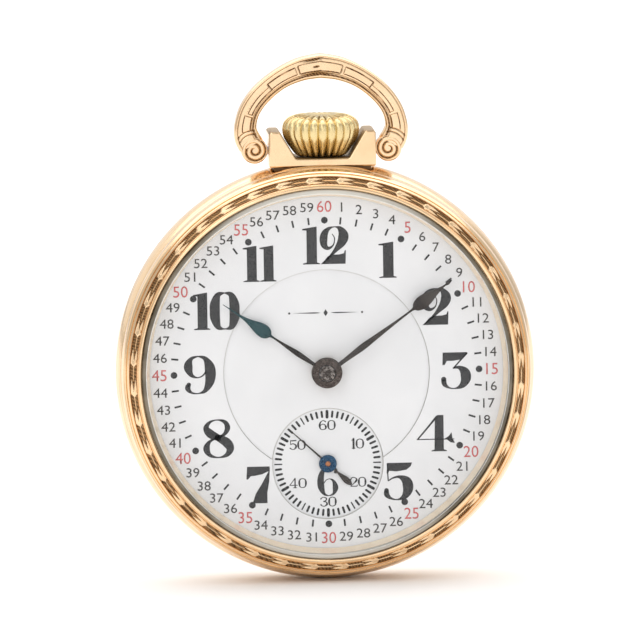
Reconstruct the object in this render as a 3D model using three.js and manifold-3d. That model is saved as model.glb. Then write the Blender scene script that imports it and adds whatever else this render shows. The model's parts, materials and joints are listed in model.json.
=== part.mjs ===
// Open face pocket watch, millimetres, standing on its rim.
// +Z runs from the dial centre to the pendant, the dial faces -Y, +X is to the right of somebody
// reading the dial. The origin is on the flat of the back cover, on the axis of the hands, so every
// depth in the case is a negative y.
import * as THREE from 'three';
import { mergeVertices } from 'three/addons/utils/BufferGeometryUtils.js';
import Module from 'manifold-3d';

const wasm = await Module();
wasm.setup();

// ---------------------------------------------------------------- driving dimensions

// How finely round things are cut.
const CASE_STEPS = 36;
const MIDDLE_STEPS = 22;
const SMALL_STEPS = 12;
const TINY_STEPS = 8;

// Case: back cover, centre ring and bezel, from the back (y = 0) to the front.
const CASE_RADIUS = 25.0;
const BACK_FLAT_RADIUS = 11.0;
const COVER_WALL = 0.6;
const RING_BACK = -3.2;
const RING_FRONT = -9.8;
const RING_BACK_RADIUS = 23.85;
const RING_FRONT_RADIUS = 24.5;
const THREAD_RADIUS = 22.95;
const THREAD_DEPTH = 0.8;
const THREAD_PLAY = 0.05;
const SKIRT_INNER_RADIUS = 22.2;
const RING_BORE = 21.7;
const FLANGE_RADIUS = 20.7;
const FLANGE_THICKNESS = 0.6;
const BEZEL_SHOULDER = { radius: 23.8, y: -12.0 };
const BAND_OUTER = { radius: 23.7, y: -12.12 };
const BAND_INNER = { radius: 22.65, y: -12.82 };
const LIP = { radius: 22.25, y: -13.0 };
const CRYSTAL_RADIUS = 22.15;
const CRYSTAL_SEAT = -12.0;
const CRYSTAL_EDGE = -12.65;
const CRYSTAL_FRONT = -14.0;
const CRYSTAL_WALL = 1.0;
const REHAUT_TOP_RADIUS = 21.9;
const REHAUT_FOOT = { radius: 21.35, y: -10.62 };

// Pendant, crown and stem on the axis that runs up from the dial centre.
const STEM_Y = -5.8;
const SEAT_Z = 24.0;
const PENDANT_HALF_WIDTH = 6.4;
const PENDANT_FOOT_HALF_WIDTH = 5.9;
const PENDANT_HALF_DEPTH = 3.3;
const EAR_TOP_Z = 28.7;
const CHANNEL_FLOOR_Z = 25.3;
const CHANNEL_FLOOR_HALF = 3.35;
const CHANNEL_TOP_HALF = 5.05;
const SLEEVE_RADIUS = 1.6;
const SLEEVE_BORE = 0.95;
const STEM_RADIUS = 0.8;
const CROWN_RADIUS = 4.63;
const CROWN_BOTTOM_Z = 25.5;
const CROWN_TOP_Z = 30.5;
const CROWN_FLUTES = 24;
const FLUTE_DEPTH = 0.28;

// Bow, swinging on two screws in the ears of the pendant.
const PIVOT_Z = 26.3;
const HUB_X = 8.0;
const HUB_RADIUS = 1.5;
const BOW_MIDDLE_LINE = [
  [HUB_X, PIVOT_Z], [8.7, 27.5], [8.87, 28.9], [8.3, 30.7], [6.95, 32.6], [4.7, 34.5], [2.4, 35.95],
  [0, 36.58],
];
const BAND_WIDTH = 2.4;
const BAND_DEPTH = 2.3;
const BAND_CORNER = 0.4;
const BOW_SCREW_RADIUS = 0.6;
const BOW_SCREW_INNER_END = 4.9;
const BOW_SCREW_OUTER_END = 9.3;

// Dial: a main ring, a sunk centre and a deeper seconds bit.
const DIAL_RADIUS = 21.6;
const DIAL_FRONT = -10.5;
const DIAL_BACK = -9.6;
const CENTER_DISC_RADIUS = 12.3;
const CENTER_DISC_FRONT = -10.25;
const SECONDS_CENTER = { x: 0, z: -11.0 };
const SECONDS_DISC_RADIUS = 6.64;
const SECONDS_DISC_FRONT = -10.0;
const SECONDS_DISC_BACK = -9.5;
const DIAL_JOINT = 0.05;

// Hands, turned to nine minutes past ten. Angles run clockwise from twelve.
const HOUR_ANGLE = 304.5;
const MINUTE_ANGLE = 54.1;
const SECONDS_ANGLE = 312.6;

// Movement: layers between the dial and the back cover.
const PLATE_RADIUS = 21.5;
const PLATE_RECESS_RADIUS = 20.3;
const PLATE_FRONT = -8.4;
const PLATE_BACK = -6.9;
const BRIDGE_FRONT = -4.4;
const BRIDGE_BACK = -3.0;
const BRIDGE_RADIUS = 20.4;
const BRIDGE_GAP = 0.25;
const PILLAR_RADIUS = 1.5;
const SCREW_HEAD_RADIUS = 1.0;
const SCREW_SHANK_RADIUS = 0.5;
const JEWEL_RADIUS = 1.0;

// The depths each thin layer lies between, from the hands back to the bridges.
const LAYER = {
  minuteHand: { front: -11.95, back: -11.75 },
  hourHand: { front: -11.3, back: -11.1 },
  secondsHand: { front: -10.45, back: -10.3 },
  minutePinion: { front: -9.4, back: -8.9 },
  hourWheel: { front: -9.35, back: -9.1 },
  cannonPinion: { front: -9.0, back: -8.5 },
  minuteWheel: { front: -8.95, back: -8.7 },
  pallet: { front: -6.8, back: -6.6 },
  escapeWheel: { front: -6.8, back: -6.55 },
  centerPinion: { front: -6.8, back: -6.15 },
  barrel: { front: -6.8, back: -5.4 },
  barrelTeeth: { front: -6.75, back: -6.25 },
  mainspring: { front: -6.5, back: -5.65 },
  roller: { front: -6.5, back: -6.25 },
  escapePinion: { front: -6.45, back: -6.05 },
  palletBridge: { front: -6.45, back: -6.15 },
  fourthWheel: { front: -6.35, back: -6.15 },
  balance: { front: -5.95, back: -5.4 },
  fourthPinion: { front: -5.4, back: -4.9 },
  thirdWheel: { front: -5.25, back: -5.05 },
  hairspring: { front: -5.15, back: -4.9 },
  thirdPinion: { front: -5.0, back: -4.45 },
  centerWheel: { front: -4.8, back: -4.55 },
};
const PIVOT_END = BRIDGE_BACK - 0.1;
const ARBOR_FOOT = PLATE_BACK + 0.02;

// Where the arbors stand, seen from the dial side.
const CENTER = { x: 0, z: 0 };
const BARREL = { x: 8.8, z: 6.2 };
const THIRD = { x: 3.803, z: -6.231 };
const FOURTH = SECONDS_CENTER;
const ESCAPE = { x: -4.52, z: -13.27 };
const PALLET = { x: -6.69, z: -10.52 };
const BALANCE = { x: -9.8, z: -6.6 };
const MINUTE_ARBOR = { x: -3.96, z: 3.96 };
const CROWN_WHEEL = { x: 0, z: 12.6 };

// Wheels and pinions: number of teeth.
const TEETH = {
  barrel: 80, centerPinion: 10, center: 80, thirdPinion: 10, third: 75, fourthPinion: 10,
  fourth: 70, escapePinion: 7, cannon: 12, minute: 36, minutePinion: 10, hour: 40,
  crownWheel: 30, ratchet: 54, windingPinion: 18, escape: 15,
};
const TOOTH_CLEARANCE = 0.05;

// ---------------------------------------------------------------- materials

const METALS = {
  gold: { color: '#d8ad6c', roughness: 0.28, metalness: 1.0 },
  crownGold: { color: '#e1c27e', roughness: 0.3, metalness: 1.0 },
  roseGold: { color: '#cf9a64', roughness: 0.3, metalness: 1.0 },
  nickel: { color: '#c9c8c2', roughness: 0.35, metalness: 1.0 },
  brass: { color: '#cba34f', roughness: 0.32, metalness: 1.0 },
  trainGold: { color: '#dcb25c', roughness: 0.25, metalness: 1.0 },
  steel: { color: '#9a9da1', roughness: 0.25, metalness: 1.0 },
  bluedSteel: { color: '#24304a', roughness: 0.3, metalness: 0.9 },
  bluedScrew: { color: '#1f3f8a', roughness: 0.25, metalness: 0.9 },
  enamel: { color: '#f0f1ef', roughness: 0.18, metalness: 0.0 },
  ruby: { color: '#a3122c', roughness: 0.08, metalness: 0.0 },
};

function piece(name, geometry, metal) {
  const mesh = new THREE.Mesh(geometry, new THREE.MeshStandardMaterial(METALS[metal]));
  mesh.name = name;
  return mesh;
}

function crystalPiece(name, geometry) {
  const glass = new THREE.MeshStandardMaterial({ color: '#eef4f4', roughness: 0.03, metalness: 0 });
  glass.transparent = true;
  glass.opacity = 0.18;
  const mesh = new THREE.Mesh(geometry, glass);
  mesh.name = name;
  return mesh;
}

function at(mesh, place) {
  mesh.position.set(place.x, 0, place.z);
  return mesh;
}

// ---------------------------------------------------------------- solid helpers

// One shared vertex per corner, no triangles without area, all faces turned outwards.
function closed(geometry) {
  const bare = geometry.clone();
  bare.deleteAttribute('normal');
  bare.deleteAttribute('uv');
  const merged = mergeVertices(bare, 1e-4);
  const index = merged.index.array;
  const corner = (i) => new THREE.Vector3().fromBufferAttribute(merged.attributes.position, i);
  const kept = [];
  let volume = 0;
  for (let i = 0; i < index.length; i += 3) {
    const [a, b, c] = [index[i], index[i + 1], index[i + 2]];
    if (a === b || b === c || c === a) continue;
    kept.push([a, b, c]);
    volume += corner(a).dot(corner(b).cross(corner(c)));
  }
  const facing = volume < 0 ? kept.map(([a, b, c]) => [a, c, b]) : kept;
  merged.setIndex(facing.flat());
  return merged;
}

function toManifold(geometry) {
  const solid = closed(geometry);
  return new wasm.Manifold(new wasm.Mesh({
    numProp: 3,
    vertProperties: new Float32Array(solid.attributes.position.array),
    triVerts: new Uint32Array(solid.index.array),
  }));
}

function fromManifold(manifold) {
  const mesh = manifold.getMesh();
  const geometry = new THREE.BufferGeometry();
  const position = new THREE.BufferAttribute(new Float32Array(mesh.vertProperties), 3);
  geometry.setAttribute('position', position);
  geometry.setIndex(Array.from(mesh.triVerts));
  return geometry;
}

function joined(...geometries) {
  return fromManifold(geometries.map(toManifold).reduce((sum, next) => sum.add(next)));
}

function cut(geometry, ...cutters) {
  const whole = toManifold(geometry);
  return fromManifold(cutters.map(toManifold).reduce((rest, next) => rest.subtract(next), whole));
}

// Solids of revolution. Profiles are lists of [radius, height] pairs.
function points2(pairs) {
  return pairs.map(([x, y]) => new THREE.Vector2(x, y));
}

function onAxisEnds(pairs) {
  const first = pairs[0];
  const last = pairs[pairs.length - 1];
  return first[0] === 0 && last[0] === 0 ? pairs : [...pairs, first];
}

function turned(pairs, steps = SMALL_STEPS) {
  return closed(new THREE.LatheGeometry(points2(onAxisEnds(pairs)), steps));
}

function turnedUp(pairs, steps = SMALL_STEPS) {
  const geometry = turned(pairs, steps);
  geometry.rotateX(Math.PI / 2);
  geometry.translate(0, STEM_Y, 0);
  return geometry;
}

function turnedAcross(pairs, steps = SMALL_STEPS) {
  const geometry = turned(pairs, steps);
  geometry.rotateZ(-Math.PI / 2);
  geometry.translate(0, STEM_Y, PIVOT_Z);
  return geometry;
}

// The hole the pendant sleeve sits in, through the case ring and the pendant.
function sleeveHole() {
  const bottom = RING_BORE - 3.7;
  const top = CHANNEL_FLOOR_Z + 1.7;
  return turnedUp([[0, bottom], [SLEEVE_RADIUS, bottom], [SLEEVE_RADIUS, top], [0, top]]);
}

function disc(radius, front, back, steps = SMALL_STEPS) {
  return turned([[0, front], [radius, front], [radius, back], [0, back]], steps);
}

function tube(inner, outer, front, back, steps = SMALL_STEPS) {
  return turned([[inner, front], [outer, front], [outer, back], [inner, back]], steps);
}

function discAt(place, radius, front, back, steps = SMALL_STEPS) {
  const geometry = disc(radius, front, back, steps);
  geometry.translate(place.x, 0, place.z);
  return geometry;
}

function box(x0, x1, y0, y1, z0, z1) {
  const geometry = new THREE.BoxGeometry(x1 - x0, y1 - y0, z1 - z0);
  geometry.translate((x0 + x1) / 2, (y0 + y1) / 2, (z0 + z1) / 2);
  return geometry;
}

// A curve through a quadratic control point, as [radius, height] pairs.
function bend(from, control, to, steps) {
  const curve = new THREE.QuadraticBezierCurve(...points2([from, control, to]));
  return curve.getPoints(steps).map((p) => [p.x, p.y]);
}

// A flat outline seen from the dial side, given as x and z, made solid between two depths.
function flat(shape, front, back, curveSegments = 6) {
  const depth = back - front;
  const options = { depth, bevelEnabled: false, curveSegments };
  const geometry = new THREE.ExtrudeGeometry(shape, options);
  geometry.rotateX(Math.PI / 2);
  geometry.translate(0, back, 0);
  return closed(geometry);
}

function layer(shape, { front, back }) {
  return flat(shape, front, back);
}

function outline(pairs) {
  return new THREE.Shape(points2(pairs));
}

function polar(radius, angle, center = CENTER) {
  return [center.x + radius * Math.cos(angle), center.z + radius * Math.sin(angle)];
}

function arcPoints(radius, from, to, steps, center = CENTER) {
  const list = [];
  for (let i = 0; i <= steps; i += 1) list.push(polar(radius, from + ((to - from) * i) / steps, center));
  return list;
}

const radians = THREE.MathUtils.degToRad;

// ---------------------------------------------------------------- gear helpers

// Distance between two arbors and the direction from one to the other.
function between(a, b) {
  return { distance: Math.hypot(b.x - a.x, b.z - a.z), angle: Math.atan2(b.z - a.z, b.x - a.x) };
}

// Pitch radii, tooth heights and tooth phases of two wheels that mesh.
function meshing(placeA, teethA, placeB, teethB) {
  const { distance, angle } = between(placeA, placeB);
  const radiusA = (distance * teethA) / (teethA + teethB);
  const height = ((Math.PI * radiusA) / teethA) * 0.55;
  const radiusB = distance - radiusA;
  return [
    { teeth: teethA, radius: radiusA, height, phase: angle },
    { teeth: teethB, radius: radiusB, height, phase: angle + Math.PI + Math.PI / teethB },
  ];
}

function toothed({ teeth, radius, height, phase }) {
  const tip = radius + height / 2 - TOOTH_CLEARANCE / 2;
  const root = radius - height / 2 - TOOTH_CLEARANCE / 2;
  const pairs = [];
  for (let i = 0; i < teeth; i += 1) {
    const angle = phase + (2 * Math.PI * i) / teeth;
    pairs.push(polar(tip, angle), polar(root, angle + Math.PI / teeth));
  }
  return outline(pairs);
}

function bored(shape, radius) {
  const steps = radius > 2 ? MIDDLE_STEPS : TINY_STEPS;
  const clear = (radius + 0.03) / Math.cos(Math.PI / steps);
  const hole = arcPoints(clear, 0, 2 * Math.PI * (1 - 1 / steps), steps - 1);
  shape.holes.push(new THREE.Path(points2(hole)));
  return shape;
}

// Windows between the spokes of a wheel.
function crossed(shape, spokes, inner, outer, spokeWidth) {
  for (let i = 0; i < spokes; i += 1) {
    const start = (2 * Math.PI * i) / spokes;
    const end = start + (2 * Math.PI) / spokes;
    const insetOuter = spokeWidth / 2 / outer;
    const insetInner = spokeWidth / 2 / inner;
    const rim = arcPoints(outer, start + insetOuter, end - insetOuter, 3);
    const hub = arcPoints(inner, end - insetInner, start + insetInner, 1);
    shape.holes.push(new THREE.Path(points2([...rim, ...hub])));
  }
  return shape;
}

function wheel(gear, { front, back }, bore, spokes, hub) {
  const rim = gear.radius - gear.height / 2 - 0.55;
  const shape = bored(crossed(toothed(gear), spokes, hub, rim, 0.7), bore);
  return flat(shape, front, back, 2);
}

function pinionOn(gear, { front, back }, arborPairs) {
  return joined(flat(toothed(gear), front, back), turned(arborPairs, TINY_STEPS));
}

// A plain arbor: a shaft that thins to a pivot at both ends.
function arbor(shaft, pivot, front, shaftFront, shaftBack, back) {
  return [
    [0, front], [pivot, front], [pivot, shaftFront], [shaft, shaftFront],
    [shaft, shaftBack], [pivot, shaftBack], [pivot, back], [0, back],
  ];
}

// ---------------------------------------------------------------- case

function caseCenter() {
  const waist = bend(
    [RING_BACK_RADIUS, RING_BACK],
    [2 * CASE_RADIUS - (RING_BACK_RADIUS + RING_FRONT_RADIUS) / 2, (RING_BACK + RING_FRONT) / 2],
    [RING_FRONT_RADIUS, RING_FRONT],
    5,
  );
  const frontThread = RING_FRONT + THREAD_DEPTH;
  const backThread = RING_BACK - THREAD_DEPTH - 0.1;
  const ring = turned([
    ...waist,
    [THREAD_RADIUS, RING_FRONT],
    [THREAD_RADIUS, frontThread],
    [RING_BORE, frontThread],
    [RING_BORE, PLATE_BACK],
    [FLANGE_RADIUS, PLATE_BACK],
    [FLANGE_RADIUS, PLATE_BACK + FLANGE_THICKNESS],
    [RING_BORE, PLATE_BACK + FLANGE_THICKNESS],
    [RING_BORE, backThread],
    [THREAD_RADIUS, backThread],
    [THREAD_RADIUS, RING_BACK],
  ], CASE_STEPS);
  const seat = box(
    -PENDANT_FOOT_HALF_WIDTH, PENDANT_FOOT_HALF_WIDTH,
    STEM_Y - PENDANT_HALF_DEPTH, STEM_Y + PENDANT_HALF_DEPTH,
    SEAT_Z, CASE_RADIUS + 1,
  );
  return piece('case_center', cut(ring, seat, sleeveHole()), 'gold');
}

function bezel() {
  const wall = bend(
    [RING_FRONT_RADIUS, RING_FRONT],
    [RING_FRONT_RADIUS - 0.05, -11.2],
    [BEZEL_SHOULDER.radius, BEZEL_SHOULDER.y],
    3,
  );
  const skirtFoot = RING_FRONT + THREAD_DEPTH - 0.1;
  return piece('bezel', turned([
    ...wall,
    [BAND_OUTER.radius, BAND_OUTER.y],
    [BAND_INNER.radius, BAND_INNER.y],
    [BAND_INNER.radius - 0.1, BAND_INNER.y - 0.12],
    [LIP.radius, LIP.y],
    [CRYSTAL_RADIUS, CRYSTAL_EDGE],
    [CRYSTAL_RADIUS, CRYSTAL_SEAT],
    [REHAUT_TOP_RADIUS, CRYSTAL_SEAT],
    [REHAUT_FOOT.radius, REHAUT_FOOT.y],
    [SKIRT_INNER_RADIUS, REHAUT_FOOT.y],
    [SKIRT_INNER_RADIUS, skirtFoot],
    [THREAD_RADIUS - THREAD_PLAY, skirtFoot],
    [THREAD_RADIUS - THREAD_PLAY, RING_FRONT],
  ], CASE_STEPS), 'gold');
}

function crystal() {
  const outside = bend(
    [0, CRYSTAL_FRONT], [20.6, CRYSTAL_FRONT + 0.1], [CRYSTAL_RADIUS, CRYSTAL_EDGE], 4,
  );
  const inside = bend(
    [REHAUT_TOP_RADIUS - 0.1, CRYSTAL_SEAT],
    [19.6, CRYSTAL_FRONT + CRYSTAL_WALL + 0.1],
    [0, CRYSTAL_FRONT + CRYSTAL_WALL],
    3,
  );
  const profile = [...outside, [CRYSTAL_RADIUS, CRYSTAL_SEAT], ...inside];
  return crystalPiece('crystal', turned(profile, CASE_STEPS));
}

function backCover() {
  const outside = bend([BACK_FLAT_RADIUS, 0], [21.5, 0], [RING_BACK_RADIUS, RING_BACK], 4);
  const skirtFoot = RING_BACK - THREAD_DEPTH;
  const inside = bend(
    [SKIRT_INNER_RADIUS, RING_BACK + 0.2],
    [20.2, -COVER_WALL],
    [BACK_FLAT_RADIUS, -COVER_WALL],
    3,
  );
  return piece('back_cover', turned([
    [0, 0],
    ...outside,
    [THREAD_RADIUS - THREAD_PLAY, RING_BACK],
    [THREAD_RADIUS - THREAD_PLAY, skirtFoot],
    [SKIRT_INNER_RADIUS, skirtFoot],
    ...inside,
    [0, -COVER_WALL],
  ], CASE_STEPS), 'gold');
}

// ---------------------------------------------------------------- pendant, crown and bow

function pendant() {
  const half = [
    [PENDANT_FOOT_HALF_WIDTH, SEAT_Z],
    [PENDANT_FOOT_HALF_WIDTH, SEAT_Z + 0.35],
    [PENDANT_HALF_WIDTH, SEAT_Z + 0.6],
    [PENDANT_HALF_WIDTH, EAR_TOP_Z - 0.3],
    [PENDANT_HALF_WIDTH - 0.3, EAR_TOP_Z],
    [CHANNEL_TOP_HALF, EAR_TOP_Z],
    [CHANNEL_FLOOR_HALF, CHANNEL_FLOOR_Z],
  ];
  const other = half.map(([x, z]) => [-x, z]).reverse();
  const front = STEM_Y - PENDANT_HALF_DEPTH;
  const back = STEM_Y + PENDANT_HALF_DEPTH;
  const block = flat(outline([...half, ...other]), front, back);
  const screwHole = turnedAcross([
    [0, -PENDANT_HALF_WIDTH - 1], [BOW_SCREW_RADIUS, -PENDANT_HALF_WIDTH - 1],
    [BOW_SCREW_RADIUS, PENDANT_HALF_WIDTH + 1], [0, PENDANT_HALF_WIDTH + 1],
  ], TINY_STEPS);
  return piece('pendant', cut(block, sleeveHole(), screwHole), 'gold');
}

function pendantSleeve() {
  const bottom = PLATE_RADIUS + 0.1;
  const top = CHANNEL_FLOOR_Z;
  return piece('pendant_sleeve', turnedUp([
    [SLEEVE_BORE, bottom], [SLEEVE_RADIUS, bottom], [SLEEVE_RADIUS, top], [SLEEVE_BORE, top],
  ]), 'steel');
}

function crown() {
  const profile = [
    [0, CROWN_BOTTOM_Z + 0.9], [STEM_RADIUS, CROWN_BOTTOM_Z + 0.9], [STEM_RADIUS, CROWN_BOTTOM_Z],
    [3.0, CROWN_BOTTOM_Z], [4.2, CROWN_BOTTOM_Z + 1.7],
    [CROWN_RADIUS, CROWN_BOTTOM_Z + 2.9], [4.4, CROWN_BOTTOM_Z + 3.9],
    [2.9, CROWN_TOP_Z], [2.0, CROWN_TOP_Z - 0.25], [0, CROWN_TOP_Z - 0.25],
  ];
  const geometry = turnedUp(profile, 2 * CROWN_FLUTES);
  const position = geometry.attributes.position;
  for (let i = 0; i < position.count; i += 1) {
    const x = position.getX(i);
    const y = position.getY(i) - STEM_Y;
    const radius = Math.hypot(x, y);
    const step = Math.round((Math.atan2(x, y) * CROWN_FLUTES) / Math.PI);
    if (radius < 3.0 || step % 2 === 0) continue;
    const scale = (radius - FLUTE_DEPTH) / radius;
    position.setXY(i, x * scale, y * scale + STEM_Y);
  }
  return piece('crown', geometry, 'crownGold');
}

function windingStem() {
  const foot = 13.3;
  return piece('winding_stem', turnedUp([
    [0, foot], [0.4, foot], [0.4, foot + 0.3], [STEM_RADIUS, foot + 0.3],
    [STEM_RADIUS, CROWN_BOTTOM_Z + 0.9], [0, CROWN_BOTTOM_Z + 0.9],
  ], TINY_STEPS), 'steel');
}

// The bow's section: an oblong with its four corners cut off.
function bowSection() {
  const wide = BAND_WIDTH / 2;
  const deep = BAND_DEPTH / 2;
  return outline([
    [-wide + BAND_CORNER, -deep], [-wide, -deep + BAND_CORNER],
    [-wide, deep - BAND_CORNER], [-wide + BAND_CORNER, deep],
    [wide - BAND_CORNER, deep], [wide, deep - BAND_CORNER],
    [wide, -deep + BAND_CORNER], [wide - BAND_CORNER, -deep],
  ]);
}

function bow() {
  const right = BOW_MIDDLE_LINE.map(([x, z]) => new THREE.Vector3(x, 0, z));
  const left = right.slice(0, -1).map((p) => new THREE.Vector3(-p.x, 0, p.z)).reverse();
  const path = new THREE.CatmullRomCurve3([...right, ...left]);
  const loop = new THREE.ExtrudeGeometry(bowSection(), { steps: 24, extrudePath: path });
  loop.translate(0, STEM_Y, 0);
  const front = STEM_Y - BAND_DEPTH / 2 - 0.1;
  const back = STEM_Y + BAND_DEPTH / 2 + 0.1;
  const hubs = [-HUB_X, HUB_X].map((x) => discAt({ x, z: PIVOT_Z }, HUB_RADIUS, front, back));
  const hole = turnedAcross([
    [0, -12], [BOW_SCREW_RADIUS + 0.05, -12], [BOW_SCREW_RADIUS + 0.05, 12], [0, 12],
  ], TINY_STEPS);
  const inner = PENDANT_HALF_WIDTH + 0.1;
  const gap = box(-inner, inner, front - 1, back + 1, PIVOT_Z - 3, PIVOT_Z + 2.2);
  return piece('bow', cut(joined(loop, ...hubs), hole, gap), 'roseGold');
}

function bowScrews() {
  return [['bow_screw_left', -1], ['bow_screw_right', 1]].map(([name, side]) => {
    const from = side * BOW_SCREW_INNER_END;
    const to = side * BOW_SCREW_OUTER_END;
    return piece(name, turnedAcross([
      [0, from], [BOW_SCREW_RADIUS, from], [BOW_SCREW_RADIUS, to], [0, to],
    ], TINY_STEPS), 'steel');
  });
}

// ---------------------------------------------------------------- dial and hands

function dial() {
  const secondsHole = discAt(
    SECONDS_CENTER, SECONDS_DISC_RADIUS, DIAL_FRONT - 1, DIAL_BACK + 1, MIDDLE_STEPS,
  );
  const ring = tube(CENTER_DISC_RADIUS, DIAL_RADIUS, DIAL_FRONT, DIAL_BACK, CASE_STEPS);
  const middle = tube(
    1.7, CENTER_DISC_RADIUS - DIAL_JOINT, CENTER_DISC_FRONT, DIAL_BACK, CASE_STEPS,
  );
  const seconds = tube(
    0.5, SECONDS_DISC_RADIUS - DIAL_JOINT, SECONDS_DISC_FRONT, SECONDS_DISC_BACK, MIDDLE_STEPS,
  );
  return [
    piece('dial_ring', cut(ring, secondsHole), 'enamel'),
    piece('dial_center', cut(middle, secondsHole), 'enamel'),
    at(piece('dial_seconds', seconds, 'enamel'), SECONDS_CENTER),
  ];
}

// A spade hand from half-widths along its length, joined to its round boss.
function spadeHand(stations, boss, bore, { front, back }) {
  const right = stations.map(([along, half]) => [half, along]);
  const left = stations.filter(([, half]) => half > 0).map(([along, half]) => [-half, along]);
  const blade = flat(outline([...right, ...left.reverse()]), front, back);
  const hub = disc(boss, front, back, MIDDLE_STEPS / 2);
  return cut(joined(blade, hub), disc(bore, front - 1, back + 1));
}

function turnedHand(name, geometry, degrees) {
  const mesh = piece(name, geometry, 'bluedSteel');
  mesh.rotation.y = radians(degrees);
  return mesh;
}

function hands() {
  const hour = spadeHand([
    [0, 0.5], [2.6, 0.32], [4.2, 0.43], [6.2, 0.3], [8.0, 0.25], [8.7, 0.85], [9.6, 1.1],
    [10.5, 0.95], [11.6, 0.5], [12.8, 0.22], [15.0, 0],
  ], 1.85, 1.45, LAYER.hourHand);
  const minute = spadeHand([
    [0, 0.5], [2.8, 0.3], [5.3, 0.45], [8.5, 0.32], [12.9, 0.22], [13.7, 0.75], [14.5, 0.95],
    [15.3, 0.8], [16.3, 0.4], [17.0, 0.2], [18.6, 0],
  ], 1.5, 1.0, LAYER.minuteHand);
  const needle = [[0.2, -3.75], [0.36, -3.0], [0.12, -0.9], [0.12, 3.0], [0.05, 6.3]];
  const mirrored = needle.map(([x, z]) => [-x, z]).reverse();
  const { front, back } = LAYER.secondsHand;
  const pipeEnd = SECONDS_DISC_FRONT - 0.08;
  const seconds = cut(
    joined(
      flat(outline([...needle, ...mirrored]), front, back),
      disc(1.05, front, back),
      disc(0.42, back, pipeEnd, TINY_STEPS),
    ),
    disc(0.2, front - 1, pipeEnd + 1, TINY_STEPS),
  );
  return [
    turnedHand('hour_hand', hour, HOUR_ANGLE),
    turnedHand('minute_hand', minute, MINUTE_ANGLE),
    at(turnedHand('seconds_hand', seconds, SECONDS_ANGLE), SECONDS_CENTER),
  ];
}

// ---------------------------------------------------------------- plates and bridges

function pillarPlate() {
  const plate = turned([
    [1.2, PLATE_FRONT], [PLATE_RECESS_RADIUS, PLATE_FRONT], [PLATE_RECESS_RADIUS, DIAL_BACK],
    [PLATE_RADIUS, DIAL_BACK], [PLATE_RADIUS, PLATE_BACK], [1.2, PLATE_BACK],
  ], CASE_STEPS);
  const stud = discAt(MINUTE_ARBOR, 0.45, -9.45, PLATE_FRONT + 0.2, TINY_STEPS);
  const keyless = box(-2.3, 2.3, -8.1, PLATE_BACK + 1, 13.0, 17.5);
  const stemSlot = box(-1.1, 1.1, -7.0, PLATE_BACK + 1, 13.0, PLATE_RADIUS + 1);
  const secondsHole = discAt(FOURTH, 0.55, -9, -6, TINY_STEPS);
  return piece('pillar_plate', cut(joined(plate, stud), keyless, stemSlot, secondsHole), 'nickel');
}

const BARREL_BRIDGE_PILLARS = [{ x: -8.5, z: 15.5 }, { x: 4.6, z: 18.2 }, { x: 18.7, z: -1.6 }];
const TRAIN_BRIDGE_PILLARS = [{ x: 17.1, z: -8.2 }, { x: 8.0, z: -16.8 }, { x: -4.4, z: -18.2 }];
const COCK_PILLAR = { x: -14.9, z: 6.9 };

function screwHoles(pillars) {
  return pillars.flatMap((place) => [
    discAt(place, SCREW_SHANK_RADIUS, PLATE_BACK - 1, BRIDGE_BACK + 1, SMALL_STEPS),
    discAt(place, SCREW_HEAD_RADIUS, BRIDGE_BACK - 0.6, BRIDGE_BACK + 1, SMALL_STEPS),
  ]);
}

function jewelHoles(places) {
  return places.map((place) => (
    discAt(place, JEWEL_RADIUS, BRIDGE_FRONT - 1, BRIDGE_BACK + 1, SMALL_STEPS)
  ));
}

function pillarsUnder(pillars, radius) {
  return pillars.map((place) => discAt(place, radius, PLATE_BACK, BRIDGE_FRONT + 0.2, SMALL_STEPS));
}

// The bridges meet along one broken line that starts and ends on their shared rim.
const SEAM = [[-2.7, 3.4], [1.1, 2.1], [3.0, -0.6], [8.0, -2.6]];
const SEAM_LEFT = radians(141);
const SEAM_RIGHT = radians(-10);
const BALANCE_OPENING = 7.45;

function barrelBridge() {
  const shape = outline([
    ...SEAM,
    ...arcPoints(BRIDGE_RADIUS, SEAM_RIGHT, SEAM_LEFT, 15),
  ]);
  const ratchetRecess = discAt(BARREL, 7.3, BRIDGE_BACK - 0.85, BRIDGE_BACK + 1, MIDDLE_STEPS);
  const crownRecess = discAt(CROWN_WHEEL, 4.2, BRIDGE_BACK - 0.85, BRIDGE_BACK + 1, MIDDLE_STEPS);
  const arborHole = discAt(BARREL, 1.3, BRIDGE_FRONT - 1, BRIDGE_BACK + 1);
  const stemWindow = box(-2.2, 2.2, BRIDGE_FRONT - 1, BRIDGE_BACK + 1, 15.0, 17.4);
  const body = joined(
    flat(shape, BRIDGE_FRONT, BRIDGE_BACK),
    ...pillarsUnder(BARREL_BRIDGE_PILLARS, PILLAR_RADIUS),
    discAt(CROWN_WHEEL, 1.0, BRIDGE_FRONT, BRIDGE_BACK - 0.9),
  );
  return piece('barrel_bridge', cut(
    body, ratchetRecess, crownRecess, arborHole, stemWindow,
    ...screwHoles(BARREL_BRIDGE_PILLARS.slice(0, 2)),
  ), 'nickel');
}

function trainBridge() {
  const lowered = SEAM.map(([x, z]) => [x - BRIDGE_GAP * 0.6, z - BRIDGE_GAP]).reverse();
  const shape = outline([
    ...arcPoints(BRIDGE_RADIUS, radians(-110), SEAM_RIGHT - BRIDGE_GAP / BRIDGE_RADIUS, 11),
    ...lowered,
    ...arcPoints(BALANCE_OPENING, radians(40), radians(-71.2), 10, BALANCE),
  ]);
  const body = joined(
    flat(shape, BRIDGE_FRONT, BRIDGE_BACK), ...pillarsUnder(TRAIN_BRIDGE_PILLARS, PILLAR_RADIUS),
  );
  return piece('train_bridge', cut(
    body, ...jewelHoles([CENTER, THIRD, FOURTH, ESCAPE]),
    ...screwHoles(TRAIN_BRIDGE_PILLARS.slice(0, 2)),
  ), 'nickel');
}

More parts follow.
